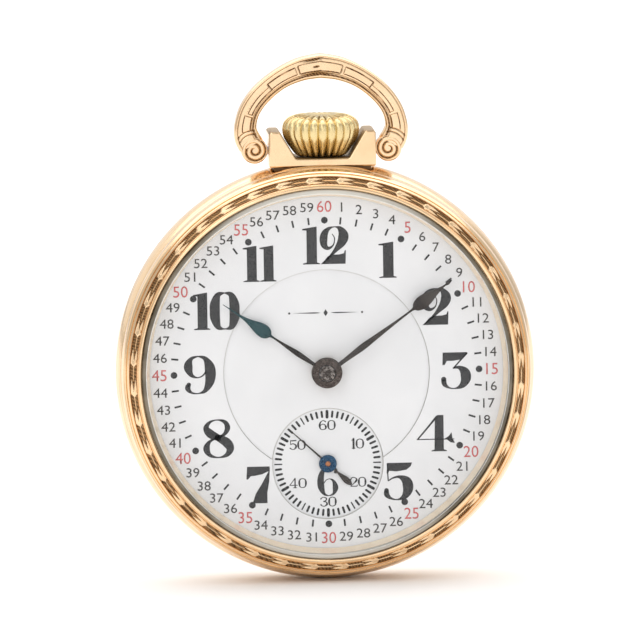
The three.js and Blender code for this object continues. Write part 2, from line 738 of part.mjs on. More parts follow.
function balanceCock() {
  const shape = outline([
    ...arcPoints(BRIDGE_RADIUS, SEAM_LEFT + radians(1), radians(170), 6),
    [-16.4, 0.4],
    ...arcPoints(2.5, radians(150), radians(390), 10, BALANCE),
    [-8.6, 2.4],
    [-8.6, 6.6],
  ]);
  const body = joined(
    flat(shape, BRIDGE_FRONT, BRIDGE_BACK), ...pillarsUnder([COCK_PILLAR], 3.0),
  );
  return piece('balance_cock', cut(
    body, ...jewelHoles([BALANCE]), ...screwHoles([COCK_PILLAR]),
  ), 'nickel');
}

function palletBridge() {
  const { angle } = between(ESCAPE, BALANCE);
  const across = angle + Math.PI / 2;
  const far = polar(4.0, across, PALLET);
  const near = polar(-0.3, across, PALLET);
  const side = (pair, sign) => polar(sign * 0.8, angle, { x: pair[0], z: pair[1] });
  const shape = outline([side(near, -1), side(near, 1), side(far, 1), side(far, -1)]);
  const middle = (LAYER.palletBridge.front + LAYER.palletBridge.back) / 2;
  const foot = discAt({ x: far[0], z: far[1] }, 0.8, PLATE_BACK, middle, TINY_STEPS);
  const { front, back } = LAYER.palletBridge;
  return piece('pallet_bridge', joined(flat(shape, front, back), foot), 'nickel');
}

function bridgeScrews() {
  const places = [
    ['barrel_bridge_screw_1', BARREL_BRIDGE_PILLARS[0]],
    ['barrel_bridge_screw_2', BARREL_BRIDGE_PILLARS[1]],
    ['train_bridge_screw_1', TRAIN_BRIDGE_PILLARS[0]],
    ['train_bridge_screw_2', TRAIN_BRIDGE_PILLARS[1]],
    ['cock_screw', COCK_PILLAR],
  ];
  const seat = BRIDGE_BACK - 0.6;
  const slot = box(-SCREW_HEAD_RADIUS, SCREW_HEAD_RADIUS, BRIDGE_BACK - 0.25, 0, -0.13, 0.13);
  const screw = cut(turned([
    [0, PLATE_BACK + 0.05], [SCREW_SHANK_RADIUS, PLATE_BACK + 0.05], [SCREW_SHANK_RADIUS, seat],
    [SCREW_HEAD_RADIUS, seat], [SCREW_HEAD_RADIUS, BRIDGE_BACK], [0, BRIDGE_BACK],
  ], SMALL_STEPS), slot);
  return places.map(([name, place]) => at(piece(name, screw, 'bluedScrew'), place));
}

function jewels() {
  const places = [
    ['balance_jewel', BALANCE], ['center_jewel', CENTER], ['third_jewel', THIRD],
    ['fourth_jewel', FOURTH], ['escape_jewel', ESCAPE],
  ];
  const setting = tube(0.3, JEWEL_RADIUS, BRIDGE_FRONT, BRIDGE_BACK + 0.1, SMALL_STEPS);
  return places.map(([name, place]) => at(piece(name, setting, 'ruby'), place));
}

// ---------------------------------------------------------------- going train

const [barrelGear, centerPinionGear] = meshing(BARREL, TEETH.barrel, CENTER, TEETH.centerPinion);
const [centerGear, thirdPinionGear] = meshing(CENTER, TEETH.center, THIRD, TEETH.thirdPinion);
const [thirdGear, fourthPinionGear] = meshing(THIRD, TEETH.third, FOURTH, TEETH.fourthPinion);
const [fourthGear, escapePinionGear] = meshing(FOURTH, TEETH.fourth, ESCAPE, TEETH.escapePinion);

const BARREL_RADIUS = 9.0;
const BARREL_BORE = 1.3;

function mainspringBarrel() {
  const { front, back } = LAYER.barrel;
  const teeth = LAYER.barrelTeeth;
  const drum = turned([
    [BARREL_BORE, front], [BARREL_RADIUS, front], [BARREL_RADIUS, back], [BARREL_BORE, back],
    [BARREL_BORE, back - 0.2], [BARREL_RADIUS - 0.4, back - 0.2],
    [BARREL_RADIUS - 0.4, front + 0.25], [BARREL_BORE, front + 0.25],
  ], MIDDLE_STEPS);
  const bore = BARREL_RADIUS - 0.2;
  const rim = flat(bored(toothed(barrelGear), bore), teeth.front, teeth.back, MIDDLE_STEPS);
  return at(piece('mainspring_barrel', joined(drum, rim), 'brass'), BARREL);
}

function barrelArbor() {
  const shoulder = BRIDGE_BACK - 0.8;
  const end = BRIDGE_BACK - 0.05;
  return at(piece('barrel_arbor', turned([
    [0, ARBOR_FOOT], [1.15, ARBOR_FOOT], [1.15, shoulder], [0.9, shoulder], [0.9, end], [0, end],
  ]), 'steel'), BARREL);
}

// A flat spiral band between two radii.
function spiral(innerRadius, outerRadius, turns, stepsPerTurn, thickness, { front, back }) {
  const inside = [];
  const outside = [];
  const count = turns * stepsPerTurn;
  for (let i = 0; i <= count; i += 1) {
    const angle = (2 * Math.PI * i) / stepsPerTurn;
    const radius = innerRadius + ((outerRadius - innerRadius) * i) / count;
    inside.push(polar(radius - thickness / 2, angle));
    outside.push(polar(radius + thickness / 2, angle));
  }
  return flat(outline([...inside, ...outside.reverse()]), front, back);
}

function mainspring() {
  const coil = spiral(2.2, 7.9, 4, 10, 0.3, LAYER.mainspring);
  return at(piece('mainspring', coil, 'steel'), BARREL);
}

function train() {
  const shoulder = BRIDGE_FRONT - 0.1;
  const centerTip = -11.7;
  const centerArbor = [
    [0, centerTip], [0.6, centerTip], [0.6, shoulder], [0.25, shoulder], [0.25, PIVOT_END],
    [0, PIVOT_END],
  ];
  const fourthTip = -10.5;
  const fourthNeck = -9.0;
  const fourthShoulder = BRIDGE_FRONT - 0.2;
  const fourthArbor = [
    [0, fourthTip], [0.16, fourthTip], [0.16, fourthNeck], [0.4, fourthNeck],
    [0.4, fourthShoulder], [0.25, fourthShoulder], [0.25, PIVOT_END], [0, PIVOT_END],
  ];
  const shortArbor = arbor(0.35, 0.2, ARBOR_FOOT, ARBOR_FOOT + 0.05, shoulder, PIVOT_END);
  const centerWheel = wheel(centerGear, LAYER.centerWheel, 0.6, 5, 1.4);
  const centerPinion = pinionOn(centerPinionGear, LAYER.centerPinion, centerArbor);
  const thirdWheel = wheel(thirdGear, LAYER.thirdWheel, 0.35, 5, 1.3);
  const thirdPinion = pinionOn(thirdPinionGear, LAYER.thirdPinion, shortArbor);
  const fourthWheel = wheel(fourthGear, LAYER.fourthWheel, 0.4, 5, 1.2);
  const fourthPinion = pinionOn(fourthPinionGear, LAYER.fourthPinion, fourthArbor);
  const escapePinion = pinionOn(escapePinionGear, LAYER.escapePinion, shortArbor);
  return [
    piece('center_wheel', centerWheel, 'trainGold'),
    piece('center_pinion', centerPinion, 'steel'),
    at(piece('third_wheel', thirdWheel, 'trainGold'), THIRD),
    at(piece('third_pinion', thirdPinion, 'steel'), THIRD),
    at(piece('fourth_wheel', fourthWheel, 'trainGold'), FOURTH),
    at(piece('fourth_pinion', fourthPinion, 'steel'), FOURTH),
    at(piece('escape_pinion', escapePinion, 'steel'), ESCAPE),
  ];
}

// ---------------------------------------------------------------- escapement and balance

function escapeWheel() {
  const pairs = [];
  for (let i = 0; i < TEETH.escape; i += 1) {
    const start = (2 * Math.PI * i) / TEETH.escape;
    const pitch = (2 * Math.PI) / TEETH.escape;
    pairs.push(polar(2.2, start), polar(2.3, start + pitch * 0.45), polar(3.0, start + pitch * 0.3));
    pairs.push(polar(2.9, start + pitch * 0.5), polar(2.2, start + pitch * 0.62));
  }
  const shape = bored(crossed(outline(pairs), 4, 0.8, 1.8, 0.4), 0.35);
  const { front, back } = LAYER.escapeWheel;
  return at(piece('escape_wheel', flat(shape, front, back, 4), 'steel'), ESCAPE);
}

function palletFork() {
  const half = [
    [0.7, 0.75], [0.6, 0.35], [3.0, 0.22], [3.45, 0.4], [3.45, 0.2], [3.15, 0.14],
  ];
  const arm = [[-0.7, 2.6], [-0.35, 2.9], [0.1, 2.6]];
  const upper = [...arm, ...half];
  const lower = upper.map(([u, v]) => [u, -v]).reverse();
  const shape = outline([...upper, ...lower, [-0.15, -1.0], [-0.2, 1.0]]);
  const { front, back } = LAYER.pallet;
  const staff = turned(
    arbor(0.3, 0.12, ARBOR_FOOT, front - 0.05, back + 0.1, back + 0.13), TINY_STEPS,
  );
  const mesh = piece('pallet_fork', joined(flat(shape, front, back), staff), 'steel');
  mesh.rotation.y = -between(ESCAPE, BALANCE).angle;
  return at(mesh, PALLET);
}

const BALANCE_RIM = { inner: 5.9, outer: 6.6 };
const BALANCE_SCREWS = 10;

function balanceWheel() {
  const shape = new THREE.Shape();
  shape.absarc(0, 0, BALANCE_RIM.outer, 0, 2 * Math.PI, false);
  const openings = crossed(bored(shape, 0.35), 2, 1.1, BALANCE_RIM.inner, 1.4);
  const { front, back } = LAYER.balance;
  const screws = [];
  for (let i = 0; i < BALANCE_SCREWS; i += 1) {
    const screw = disc(0.35, 0.55, -0.2, 8);
    screw.rotateX(Math.PI / 2);
    screw.translate(0, (front + back) / 2, BALANCE_RIM.outer);
    screw.rotateY((2 * Math.PI * (i + 0.5)) / BALANCE_SCREWS);
    screws.push(screw);
  }
  const rim = flat(openings, front, back, 10);
  return at(piece('balance_wheel', joined(rim, ...screws), 'trainGold'), BALANCE);
}

function balanceParts() {
  const foot = PLATE_BACK + 0.05;
  const shoulder = BRIDGE_FRONT - 0.2;
  const staff = turned([
    [0, foot], [0.12, foot], [0.3, foot + 0.1], [0.3, shoulder], [0.2, shoulder + 0.1],
    [0.2, PIVOT_END], [0, PIVOT_END],
  ], TINY_STEPS);
  const rollerDisc = tube(0.3, 1.4, LAYER.roller.front, LAYER.roller.back);
  const pin = discAt({ x: 1.1, z: 0 }, 0.16, -6.78, -6.4, 8);
  const roller = piece('roller', joined(rollerDisc, pin), 'steel');
  roller.rotation.y = -between(BALANCE, PALLET).angle;
  const spring = spiral(0.75, 3.1, 4, 10, 0.1, LAYER.hairspring);
  return [
    at(piece('balance_staff', staff, 'steel'), BALANCE),
    at(roller, BALANCE),
    at(piece('hairspring', spring, 'bluedSteel'), BALANCE),
  ];
}

function regulator() {
  const top = BRIDGE_BACK + 0.35;
  const ring = tube(JEWEL_RADIUS + 0.1, 1.9, BRIDGE_BACK, top);
  const pointer = box(-0.22, 0.22, BRIDGE_BACK, top, 1.6, 7.6);
  const mesh = piece('regulator', joined(ring, pointer), 'steel');
  mesh.rotation.y = radians(-12);
  return at(mesh, BALANCE);
}

// ---------------------------------------------------------------- motion work

const [cannonGear, minuteGear] = meshing(CENTER, TEETH.cannon, MINUTE_ARBOR, TEETH.minute);
const [minutePinionGear, hourGear] = meshing(MINUTE_ARBOR, TEETH.minutePinion, CENTER, TEETH.hour);

function motionWork() {
  const cannonTube = tube(0.65, 0.95, -12.0, -8.5);
  const hourTube = tube(1.0, 1.4, -11.35, -9.1);
  return [
    piece('cannon_pinion', joined(
      layer(bored(toothed(cannonGear), 0.8), LAYER.cannonPinion), cannonTube,
    ), 'steel'),
    at(piece('minute_wheel', joined(
      layer(bored(toothed(minuteGear), 0.5), LAYER.minuteWheel),
      layer(bored(toothed(minutePinionGear), 0.5), LAYER.minutePinion),
    ), 'brass'), MINUTE_ARBOR),
    piece('hour_wheel', joined(
      layer(bored(toothed(hourGear), 1.2), LAYER.hourWheel), hourTube,
    ), 'brass'),
  ];
}

// ---------------------------------------------------------------- winding and setting

const [crownWheelGear, ratchetGear] = meshing(CROWN_WHEEL, TEETH.crownWheel, BARREL, TEETH.ratchet);

function windingWork() {
  const top = BRIDGE_BACK - 0.2;
  const floor = BRIDGE_BACK - 0.8;
  const pinionShape = bored(toothed({
    teeth: TEETH.windingPinion, radius: 1.8, height: 0.35, phase: 0,
  }), STEM_RADIUS);
  const clutchShape = bored(toothed({
    teeth: 14, radius: 1.2, height: 0.25, phase: 0,
  }), STEM_RADIUS);
  const onStem = (shape, from, to) => {
    const geometry = new THREE.ExtrudeGeometry(shape, {
      depth: to - from, bevelEnabled: false, curveSegments: 3,
    });
    geometry.translate(0, STEM_Y, from);
    return closed(geometry);
  };
  return [
    piece('crown_wheel', flat(toothed(crownWheelGear), floor, top), 'steel'),
    piece('ratchet_wheel', flat(bored(toothed(ratchetGear), 0.9), floor, top), 'steel'),
    piece('winding_pinion', onStem(pinionShape, 15.5, 17.1), 'steel'),
    piece('clutch_wheel', onStem(clutchShape, 13.8, 15.3), 'steel'),
  ];
}

function placedWindingWork() {
  const [crownWheel, ratchet, pinion, clutch] = windingWork();
  return [at(crownWheel, CROWN_WHEEL), at(ratchet, BARREL), pinion, clutch];
}

function click() {
  const shape = outline([
    [0, 0.9], [-0.9, 0.3], [-0.7, -0.7], [0.3, -0.8], [1.6, 0.1], [2.6, 0.75], [1.0, 0.9],
  ]);
  const mesh = piece('click', flat(shape, BRIDGE_BACK, BRIDGE_BACK + 0.4), 'steel');
  return at(mesh, { x: -1.9, z: 7.2 });
}

function settingLever() {
  const shape = outline([
    [5.0, 16.4], [7.6, 17.2], [8.9, 17.4], [8.6, 18.1], [6.9, 18.2], [4.6, 17.5], [1.6, 14.9],
    [1.9, 14.2],
  ]);
  return piece('setting_lever', flat(shape, -8.9, PLATE_FRONT), 'steel');
}

// ---------------------------------------------------------------- the whole watch

const watch = new THREE.Group();
watch.name = 'pocket_watch';
watch.add(
  caseCenter(), bezel(), crystal(), backCover(),
  pendant(), pendantSleeve(), crown(), windingStem(), bow(), ...bowScrews(),
  ...dial(), ...hands(),
  pillarPlate(), barrelBridge(), trainBridge(), balanceCock(), palletBridge(),
  ...bridgeScrews(), ...jewels(),
  mainspringBarrel(), barrelArbor(), mainspring(), ...train(),
  escapeWheel(), palletFork(), balanceWheel(), ...balanceParts(), regulator(),
  ...motionWork(), ...placedWindingWork(), click(), settingLever(),
);

export default watch;
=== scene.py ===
"""Looks of the open face pocket watch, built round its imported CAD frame.

Shapes are worked out in millimetres in the row frame and turned to metres when a mesh is made.
The dial faces -Y, the pendant is at +Z, and depths are negative y, as in the CAD part.
"""

import json
import math

import bmesh
import bpy
from mathutils import Matrix, Vector, noise


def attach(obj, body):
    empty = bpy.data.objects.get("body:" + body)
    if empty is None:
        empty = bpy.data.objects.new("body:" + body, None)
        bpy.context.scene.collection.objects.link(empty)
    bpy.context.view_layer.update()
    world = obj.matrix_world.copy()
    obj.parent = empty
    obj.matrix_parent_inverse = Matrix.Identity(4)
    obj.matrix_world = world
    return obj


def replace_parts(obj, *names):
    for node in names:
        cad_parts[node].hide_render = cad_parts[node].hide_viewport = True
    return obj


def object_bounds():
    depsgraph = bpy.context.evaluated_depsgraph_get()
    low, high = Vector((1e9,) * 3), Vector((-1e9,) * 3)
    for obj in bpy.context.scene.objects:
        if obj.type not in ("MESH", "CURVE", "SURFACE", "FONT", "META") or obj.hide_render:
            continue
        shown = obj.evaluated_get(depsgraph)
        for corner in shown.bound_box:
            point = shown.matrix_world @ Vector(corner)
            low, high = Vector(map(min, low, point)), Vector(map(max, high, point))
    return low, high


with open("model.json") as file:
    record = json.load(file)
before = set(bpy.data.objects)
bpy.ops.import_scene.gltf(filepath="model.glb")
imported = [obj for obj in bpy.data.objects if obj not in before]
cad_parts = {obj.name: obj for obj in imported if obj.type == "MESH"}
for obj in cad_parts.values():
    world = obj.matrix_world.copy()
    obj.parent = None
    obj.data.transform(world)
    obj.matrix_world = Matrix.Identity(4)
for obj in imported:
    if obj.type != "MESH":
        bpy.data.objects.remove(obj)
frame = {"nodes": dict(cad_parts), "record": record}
cad_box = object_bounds()

MM = 0.001
TAU = 2 * math.pi

# ---------------------------------------------------------------- sizes, in millimetres

DIAL_FRONT = -10.5
CENTER_FRONT = -10.25
SECONDS_FRONT = -10.0
DIAL_BACK = -9.6
INK_LIFT = 0.015
DIAL_RADIUS = 21.6
CENTER_RADIUS = 12.3
SECONDS_RADIUS = 6.64
SECONDS_Z = -11.0
HOUR_ANGLE = 304.5
MINUTE_ANGLE = 54.1
SECONDS_ANGLE = 312.6
STEM_Y = -5.8
PIVOT_Z = 26.3
HUB_X = 8.0
BARREL = (8.8, 6.2)
CROWN_WHEEL = (0.0, 12.6)
BALANCE = (-9.8, -6.6)
JEWEL_PLACES = {
    "balance_jewel": BALANCE,
    "center_jewel": (0.0, 0.0),
    "third_jewel": (3.803, -6.231),
    "fourth_jewel": (0.0, SECONDS_Z),
    "escape_jewel": (-4.52, -13.27),
}
SCREW_PLACES = {
    "barrel_bridge_screw_1": (-8.5, 15.5),
    "barrel_bridge_screw_2": (4.6, 18.2),
    "train_bridge_screw_1": (17.1, -8.2),
    "train_bridge_screw_2": (8.0, -16.8),
    "cock_screw": (-14.9, 6.9),
}


# ---------------------------------------------------------------- mesh helpers

def make(name, verts, faces, material, sharp=35.0, relief=None):
    """A mesh object from points in millimetres. relief is one number a vertex, for the material."""
    mesh = bpy.data.meshes.new(name)
    mesh.from_pydata([(x * MM, y * MM, z * MM) for x, y, z in verts], [], faces)
    mesh.validate()
    tidy = bmesh.new()
    tidy.from_mesh(mesh)
    bmesh.ops.recalc_face_normals(tidy, faces=tidy.faces)
    tidy.to_mesh(mesh)
    tidy.free()
    for polygon in mesh.polygons:
        polygon.use_smooth = True
    mesh.set_sharp_from_angle(angle=math.radians(sharp))
    if relief is not None:
        attribute = mesh.attributes.new("relief", "FLOAT", "POINT")
        attribute.data.foreach_set("value", relief)
    mesh.materials.append(material)
    obj = bpy.data.objects.new(name, mesh)
    bpy.context.scene.collection.objects.link(obj)
    return obj


def piece(obj, body, slot_name, *replaced):
    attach(obj, body)
    if replaced:
        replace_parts(obj, *replaced)
    return obj


def unit(value):
    """A number kept between 0 and 1."""
    return max(0.0, min(1.0, value))


def swell(distance, width):
    """A smooth bump: 1 at no distance, almost nothing two widths away."""
    return math.exp(-(distance / width) ** 2)


def heading(line, i):
    """Direction of a line of (x, z, ...) tuples at one of its points."""
    before, after = line[max(0, i - 1)], line[min(len(line) - 1, i + 1)]
    along = Vector((after[0] - before[0], after[1] - before[1]))
    return along.normalized() if along.length > 1e-9 else Vector((1, 0))


def spot(radius, angle, center=(0.0, 0.0)):
    """A point (x, z) of a circle. Angles run clockwise from +Z, as on the dial."""
    return center[0] + radius * math.sin(angle), center[1] + radius * math.cos(angle)


def ring_point(radius, y, angle, center=(0.0, 0.0)):
    """A point (x, y, z) of a circle round an axis along Y."""
    x, z = spot(radius, angle, center)
    return x, y, z


def arc(radius, start, end, steps, center=(0.0, 0.0)):
    """Points (x, z) of an arc between two angles in radians."""
    return [spot(radius, start + (end - start) * i / steps, center) for i in range(steps + 1)]


def circle(radius, count, center=(0.0, 0.0)):
    """Points (x, z) of a whole circle."""
    return arc(radius, 0, TAU, count, center)[:-1]


def loop_faces(lines, count):
    """Faces of a closed profile of count points, repeated on lines that close into a ring."""
    faces = []
    for i in range(lines):
        here, after = i * count, (i + 1) % lines * count
        for j in range(count):
            k = (j + 1) % count
            faces.append((here + j, here + k, after + k, after + j))
    return faces


def skin_faces(lines, count, start, first, last):
    """Faces of open lines of count points that close into a ring, with a point at either end."""
    faces = []
    for i in range(lines):
        here = start + i * count
        after = start + (i + 1) % lines * count
        faces.append((first, here, after))
        faces.append((last, after + count - 1, here + count - 1))
        faces += [(here + j, here + j + 1, after + j + 1, after + j) for j in range(count - 1)]
    return faces


def tube_faces(sections, around, start=0, ends=True):
    """Faces of a row of sections of around points each, with a face over both ends."""
    faces = []
    for i in range(sections - 1):
        here, after = start + i * around, start + (i + 1) * around
        for j in range(around):
            k = (j + 1) % around
            faces.append((here + j, here + k, after + k, after + j))
    if ends:
        last = start + (sections - 1) * around
        faces.append(tuple(start + j for j in range(around)))
        faces.append(tuple(last + j for j in reversed(range(around))))
    return faces


def softened(profile, radius):
    """The corners of a closed profile of (r, y) pairs, rounded off."""
    steps = 4
    count = len(profile)
    points = []
    for i, corner in enumerate(profile):
        before = Vector(profile[i - 1])
        here = Vector(corner)
        after = Vector(profile[(i + 1) % count])
        reach = min(radius, (before - here).length * 0.45, (after - here).length * 0.45)
        start = here + (before - here).normalized() * reach
        end = here + (after - here).normalized() * reach
        for step in range(steps + 1):
            t = step / steps
            point = start.lerp(here, t).lerp(here.lerp(end, t), t)
            points.append(tuple(point))
    return points


def turned(name, profile, material, steps=192, center=(0.0, 0.0), sharp=35.0, shape=None):
    """A closed profile of (r, y) turned round an axis along Y. shape can move a point."""
    verts = []
    for i in range(steps):
        angle = TAU * i / steps
        for radius, y in profile:
            if shape:
                radius, y = shape(radius, y, angle)
            verts.append(ring_point(radius, y, angle, center))
    return make(name, verts, loop_faces(steps, len(profile)), material, sharp)


def capped(name, profile, material, steps, center=(0.0, 0.0)):
    """A profile that starts and ends on the axis, turned round an axis along Y."""
    inner = profile[1:-1]
    verts = [ring_point(0, profile[0][1], 0, center), ring_point(0, profile[-1][1], 0, center)]
    for i in range(steps):
        verts.extend(ring_point(r, y, TAU * i / steps, center) for r, y in inner)
    return make(name, verts, skin_faces(steps, len(inner), 2, 0, 1), material)


def curve_points(points, steps):
    """Catmull-Rom through tuples of any length, steps to each span."""
    last = len(points) - 1
    result = []
    for i in range(last):
        near = [points[max(0, min(last, i + k))] for k in (-1, 0, 1, 2)]
        for step in range(steps):
            t = step / steps
            result.append(tuple(
                0.5 * (2 * b + (c - a) * t + (2 * a - 5 * b + 4 * c - d) * t * t
                       + (3 * b - a - 3 * c + d) * t ** 3)
                for a, b, c, d in zip(*near)))
    result.append(tuple(points[-1]))
    return result


def slab(name, outline, front, back, material, bevel=0.0):
    """A flat outline of (x, z) pairs made solid between two depths."""
    verts = [(x, y, z) for y in (front, back) for x, z in outline]
    obj = make(name, verts, tube_faces(2, len(outline)), material)
    if bevel:
        modifier = obj.modifiers.new("edge", "BEVEL")
        modifier.width = bevel * MM
        modifier.segments = 3
        modifier.limit_method = "ANGLE"
        modifier.angle_limit = math.radians(40)
    return obj


# ---------------------------------------------------------------- material helpers

class Paint:
    """A material's node tree, with short calls for the nodes used here."""

    def __init__(self, name):
        self.material = bpy.data.materials.new(name)
        self.material.use_nodes = True
        self.tree = self.material.node_tree
        self.shader = self.tree.nodes["Principled BSDF"]
        coordinates = self.tree.nodes.new("ShaderNodeTexCoord")
        scale = self.tree.nodes.new("ShaderNodeVectorMath")
        scale.operation = "SCALE"
        scale.inputs["Scale"].default_value = 1 / MM
        self.tree.links.new(coordinates.outputs["Object"], scale.inputs[0])
        self.place = scale.outputs[0]

    def put(self, kind, inputs, output=0, **settings):
        node = self.tree.nodes.new(kind)
        for key, value in settings.items():
            setattr(node, key, value)
        for key, value in inputs.items():
            socket = node.inputs[key]
            if isinstance(value, bpy.types.NodeSocket):
                self.tree.links.new(value, socket)
            else:
                socket.default_value = value
        return node.outputs[output]

    def math(self, operation, a, b=0.0):
        return self.put("ShaderNodeMath", {0: a, 1: b}, operation=operation)

    def add(self, a, b):
        return self.math("ADD", a, b)

    def times(self, a, b):
        return self.math("MULTIPLY", a, b)

    def moved(self, offset=(0, 0, 0), stretch=(1, 1, 1), turn=(0, 0, 0)):
        values = {"Vector": self.place, "Location": offset, "Scale": stretch, "Rotation": turn}
        return self.put("ShaderNodeMapping", values)

    def noise(self, scale, detail=3.0, rough=0.5, vector=None):
        values = {"Vector": vector or self.place, "Scale": scale, "Detail": detail,
                  "Roughness": rough}
        return self.put("ShaderNodeTexNoise", values)

    def remap(self, value, low, high, out_low, out_high):
        return self.put("ShaderNodeMapRange", {
            "Value": value, "From Min": low, "From Max": high, "To Min": out_low,
            "To Max": out_high})

    def mix(self, factor, *colors):
        """Mixes two colours, each a socket or three numbers."""
        a, b = [c if isinstance(c, bpy.types.NodeSocket) else (*c, 1.0) for c in colors]
        return self.put("ShaderNodeMix", {0: factor, 6: a, 7: b}, output=2, data_type="RGBA")

    def blend(self, value, low, high, under, over, most=1.0):
        """Goes from one colour towards another while a value rises from low to high."""
        return self.mix(self.remap(value, low, high, 0.0, most), under, over)

    def bump(self, height, distance, strength=1.0, normal=None):
        values = {"Height": height, "Distance": distance * MM, "Strength": strength}
        if normal is not None:
            values["Normal"] = normal
        return self.put("ShaderNodeBump", values)

    def attach(self, socket, value):
        if isinstance(value, bpy.types.NodeSocket):
            self.tree.links.new(value, self.shader.inputs[socket])
        else:
            self.shader.inputs[socket].default_value = value

    def surface(self, color, roughness, normal, metallic=0.0):
        """Sets what nearly every material has, and returns the material."""
        self.attach("Base Color", color)
        self.attach("Metallic", metallic)
        self.attach("Roughness", roughness)
        self.attach("Normal", normal)
        return self.material

    def lathe_lines(self):
        """Fine uneven lines that run round the Y axis, as polishing on a lathe leaves them."""
        radius, turn = self.polar()
        parts = self.tree.nodes.new("ShaderNodeSeparateXYZ")
        self.tree.links.new(self.place, parts.inputs[0])
        vector = self.put("ShaderNodeCombineXYZ", {
            "X": self.times(radius, 3.2),
            "Y": self.times(parts.outputs["Y"], 3.2),
            "Z": self.times(turn, 9.0)})
        return self.noise(1.0, 4.0, 0.62, vector)

    def polar(self, center=(0.0, 0.0)):
        """Distance from an axis along Y, and the angle round it in turns."""
        shifted = self.moved(offset=(-center[0], 0, -center[1]))
        parts = self.tree.nodes.new("ShaderNodeSeparateXYZ")
        self.tree.links.new(shifted, parts.inputs[0])
        x, z = parts.outputs["X"], parts.outputs["Z"]
        squares = self.add(self.times(x, x), self.times(z, z))
        turn = self.math("DIVIDE", self.math("ARCTAN2", x, z), TAU)
        return self.math("SQRT", squares), turn


def shaded(color, red, green, blue):
    """A colour with each of its three parts scaled."""
    return red * color[0], green * color[1], blue * color[2]


def gold(name, light, dark, rough=0.16, relief=False, lathe_wear=0.0):
    """Polished gold with hairline scratches, faint clouding and a few small pits.

    relief reads the mesh's own heights and darkens the cut ground, as patina in the engraving
    and as painted shade in the crown's flutes; lathe_wear is the strength of the dull lines round
    the case.
    """
    paint = Paint(name)
    cloud = paint.noise(0.35, 4.0, 0.6)
    fine = paint.noise(5.0, 5.0, 0.65)
    color = paint.blend(cloud, 0.3, 0.7, light, dark, 0.35)
    color = paint.blend(fine, 0.62, 0.8, color, dark, 0.5)
    roughness = paint.remap(fine, 0.3, 0.75, rough - 0.05, rough + 0.12)
    if relief:
        height = paint.put("ShaderNodeAttribute", {}, output=2, attribute_name="relief")
        ground = paint.remap(height, 0.08, 0.6, 1.0, 0.0)
        hatch = paint.put("ShaderNodeTexWave", {
            "Vector": paint.place, "Scale": 1.5, "Distortion": 4.0, "Detail": 3.0,
            "Detail Scale": 2.0}, bands_direction="DIAGONAL")
        # Tones of the darkened ground: patina in the engraving, painted shade in the crown's flutes.
        deep, worn = shaded(dark, 0.07, 0.05, 0.035), shaded(dark, 0.46, 0.38, 0.30)
        color = paint.mix(ground, color, paint.mix(hatch, deep, worn))
        roughness = paint.add(roughness, paint.times(ground, 0.22))
    if lathe_wear:
        lathe = paint.lathe_lines()
        color = paint.blend(lathe, 0.54, 0.68, color, shaded(dark, 0.4, 0.35, 0.3), lathe_wear)
    pits = paint.put("ShaderNodeTexVoronoi", {"Vector": paint.place, "Scale": 0.25})
    color = paint.mix(paint.remap(pits, 0.03, 0.045, 1.0, 0.0), color, (0.03, 0.02, 0.01))
    hairs = paint.noise(3.0, 3.0, 0.6, paint.moved(stretch=(6, 1, 0.5), turn=(0.4, 0.3, 0.8)))
    more = paint.noise(3.0, 3.0, 0.6, paint.moved(stretch=(0.5, 1, 7), turn=(0.1, 0.5, 0.2)))
    normal = paint.bump(hairs, 0.006, 0.5)
    normal = paint.bump(more, 0.005, 0.5, normal)
    normal = paint.bump(cloud, 0.05, 0.25, normal)
    if lathe_wear:
        normal = paint.bump(lathe, 0.012, 0.6, normal)
    return paint.surface(color, roughness, normal, 1.0)


# Distances from the axis between which the hour hand's colour changes to that of its leaf.
LEAF_STARTS = (7.2, 8.6)


def steel(name, light, dark, rough=0.2, grain=(1, 1, 1), grain_depth=0.01, metallic=1.0,
          leaf=None):
    """Brushed or polished steel. grain stretches its lines, leaf colours a hand's broad end."""
    paint = Paint(name)
    lines = paint.noise(6.0, 4.0, 0.6, paint.moved(stretch=grain))
    cloud = paint.noise(0.6, 3.0, 0.6)
    both = paint.add(paint.times(lines, 0.5), paint.times(cloud, 0.5))
    color = paint.blend(both, 0.35, 0.65, light, dark)
    if leaf:
        color = paint.blend(paint.polar()[0], *LEAF_STARTS, color, leaf)
    roughness = paint.remap(lines, 0.3, 0.7, rough - 0.06, rough + 0.1)
    return paint.surface(color, roughness, paint.bump(lines, grain_depth, 0.6), metallic)


def sunray(name, light, dark, center, rings):
    """Metal turned or snailed about a wheel's own axis: fine rings and soft rays."""
    paint = Paint(name)
    radius, turn = paint.polar(center)
    spin = paint.times(turn, 40.0)
    across = paint.times(radius, rings)
    wave = paint.math("SINE", paint.add(paint.times(across, TAU), spin))
    cloud = paint.noise(0.7, 3.0, 0.55)
    tone = paint.add(paint.times(wave, 0.3), cloud)
    color = paint.blend(tone, 0.2, 0.8, light, dark)
    roughness = paint.remap(cloud, 0.3, 0.7, 0.17, 0.32)
    return paint.surface(color, roughness, paint.bump(wave, 0.012, 0.55), 1.0)


def damaskeened():
    """Nickel plates with broad wavy bands and a fine engraved ground."""
    paint = Paint("bridge_nickel")
    radius, turn = paint.polar()
    waves = paint.times(paint.math("SINE", paint.times(turn, TAU * 12)), 0.35)
    across = paint.add(paint.times(radius, 0.62), waves)
    saw = paint.math("FRACT", across)
    fine = paint.math("SINE", paint.times(paint.add(across, turn), TAU * 14))
    cloud = paint.noise(0.8, 3.0, 0.6)
    color = paint.mix(saw, (0.60, 0.59, 0.57), (0.36, 0.36, 0.36))
    color = paint.blend(cloud, 0.4, 0.8, color, (0.44, 0.42, 0.38), 0.3)
    normal = paint.bump(fine, 0.006, 0.5, paint.bump(saw, 0.06, 0.5))
    return paint.surface(color, paint.remap(saw, 0.0, 1.0, 0.2, 0.38), normal, 1.0)


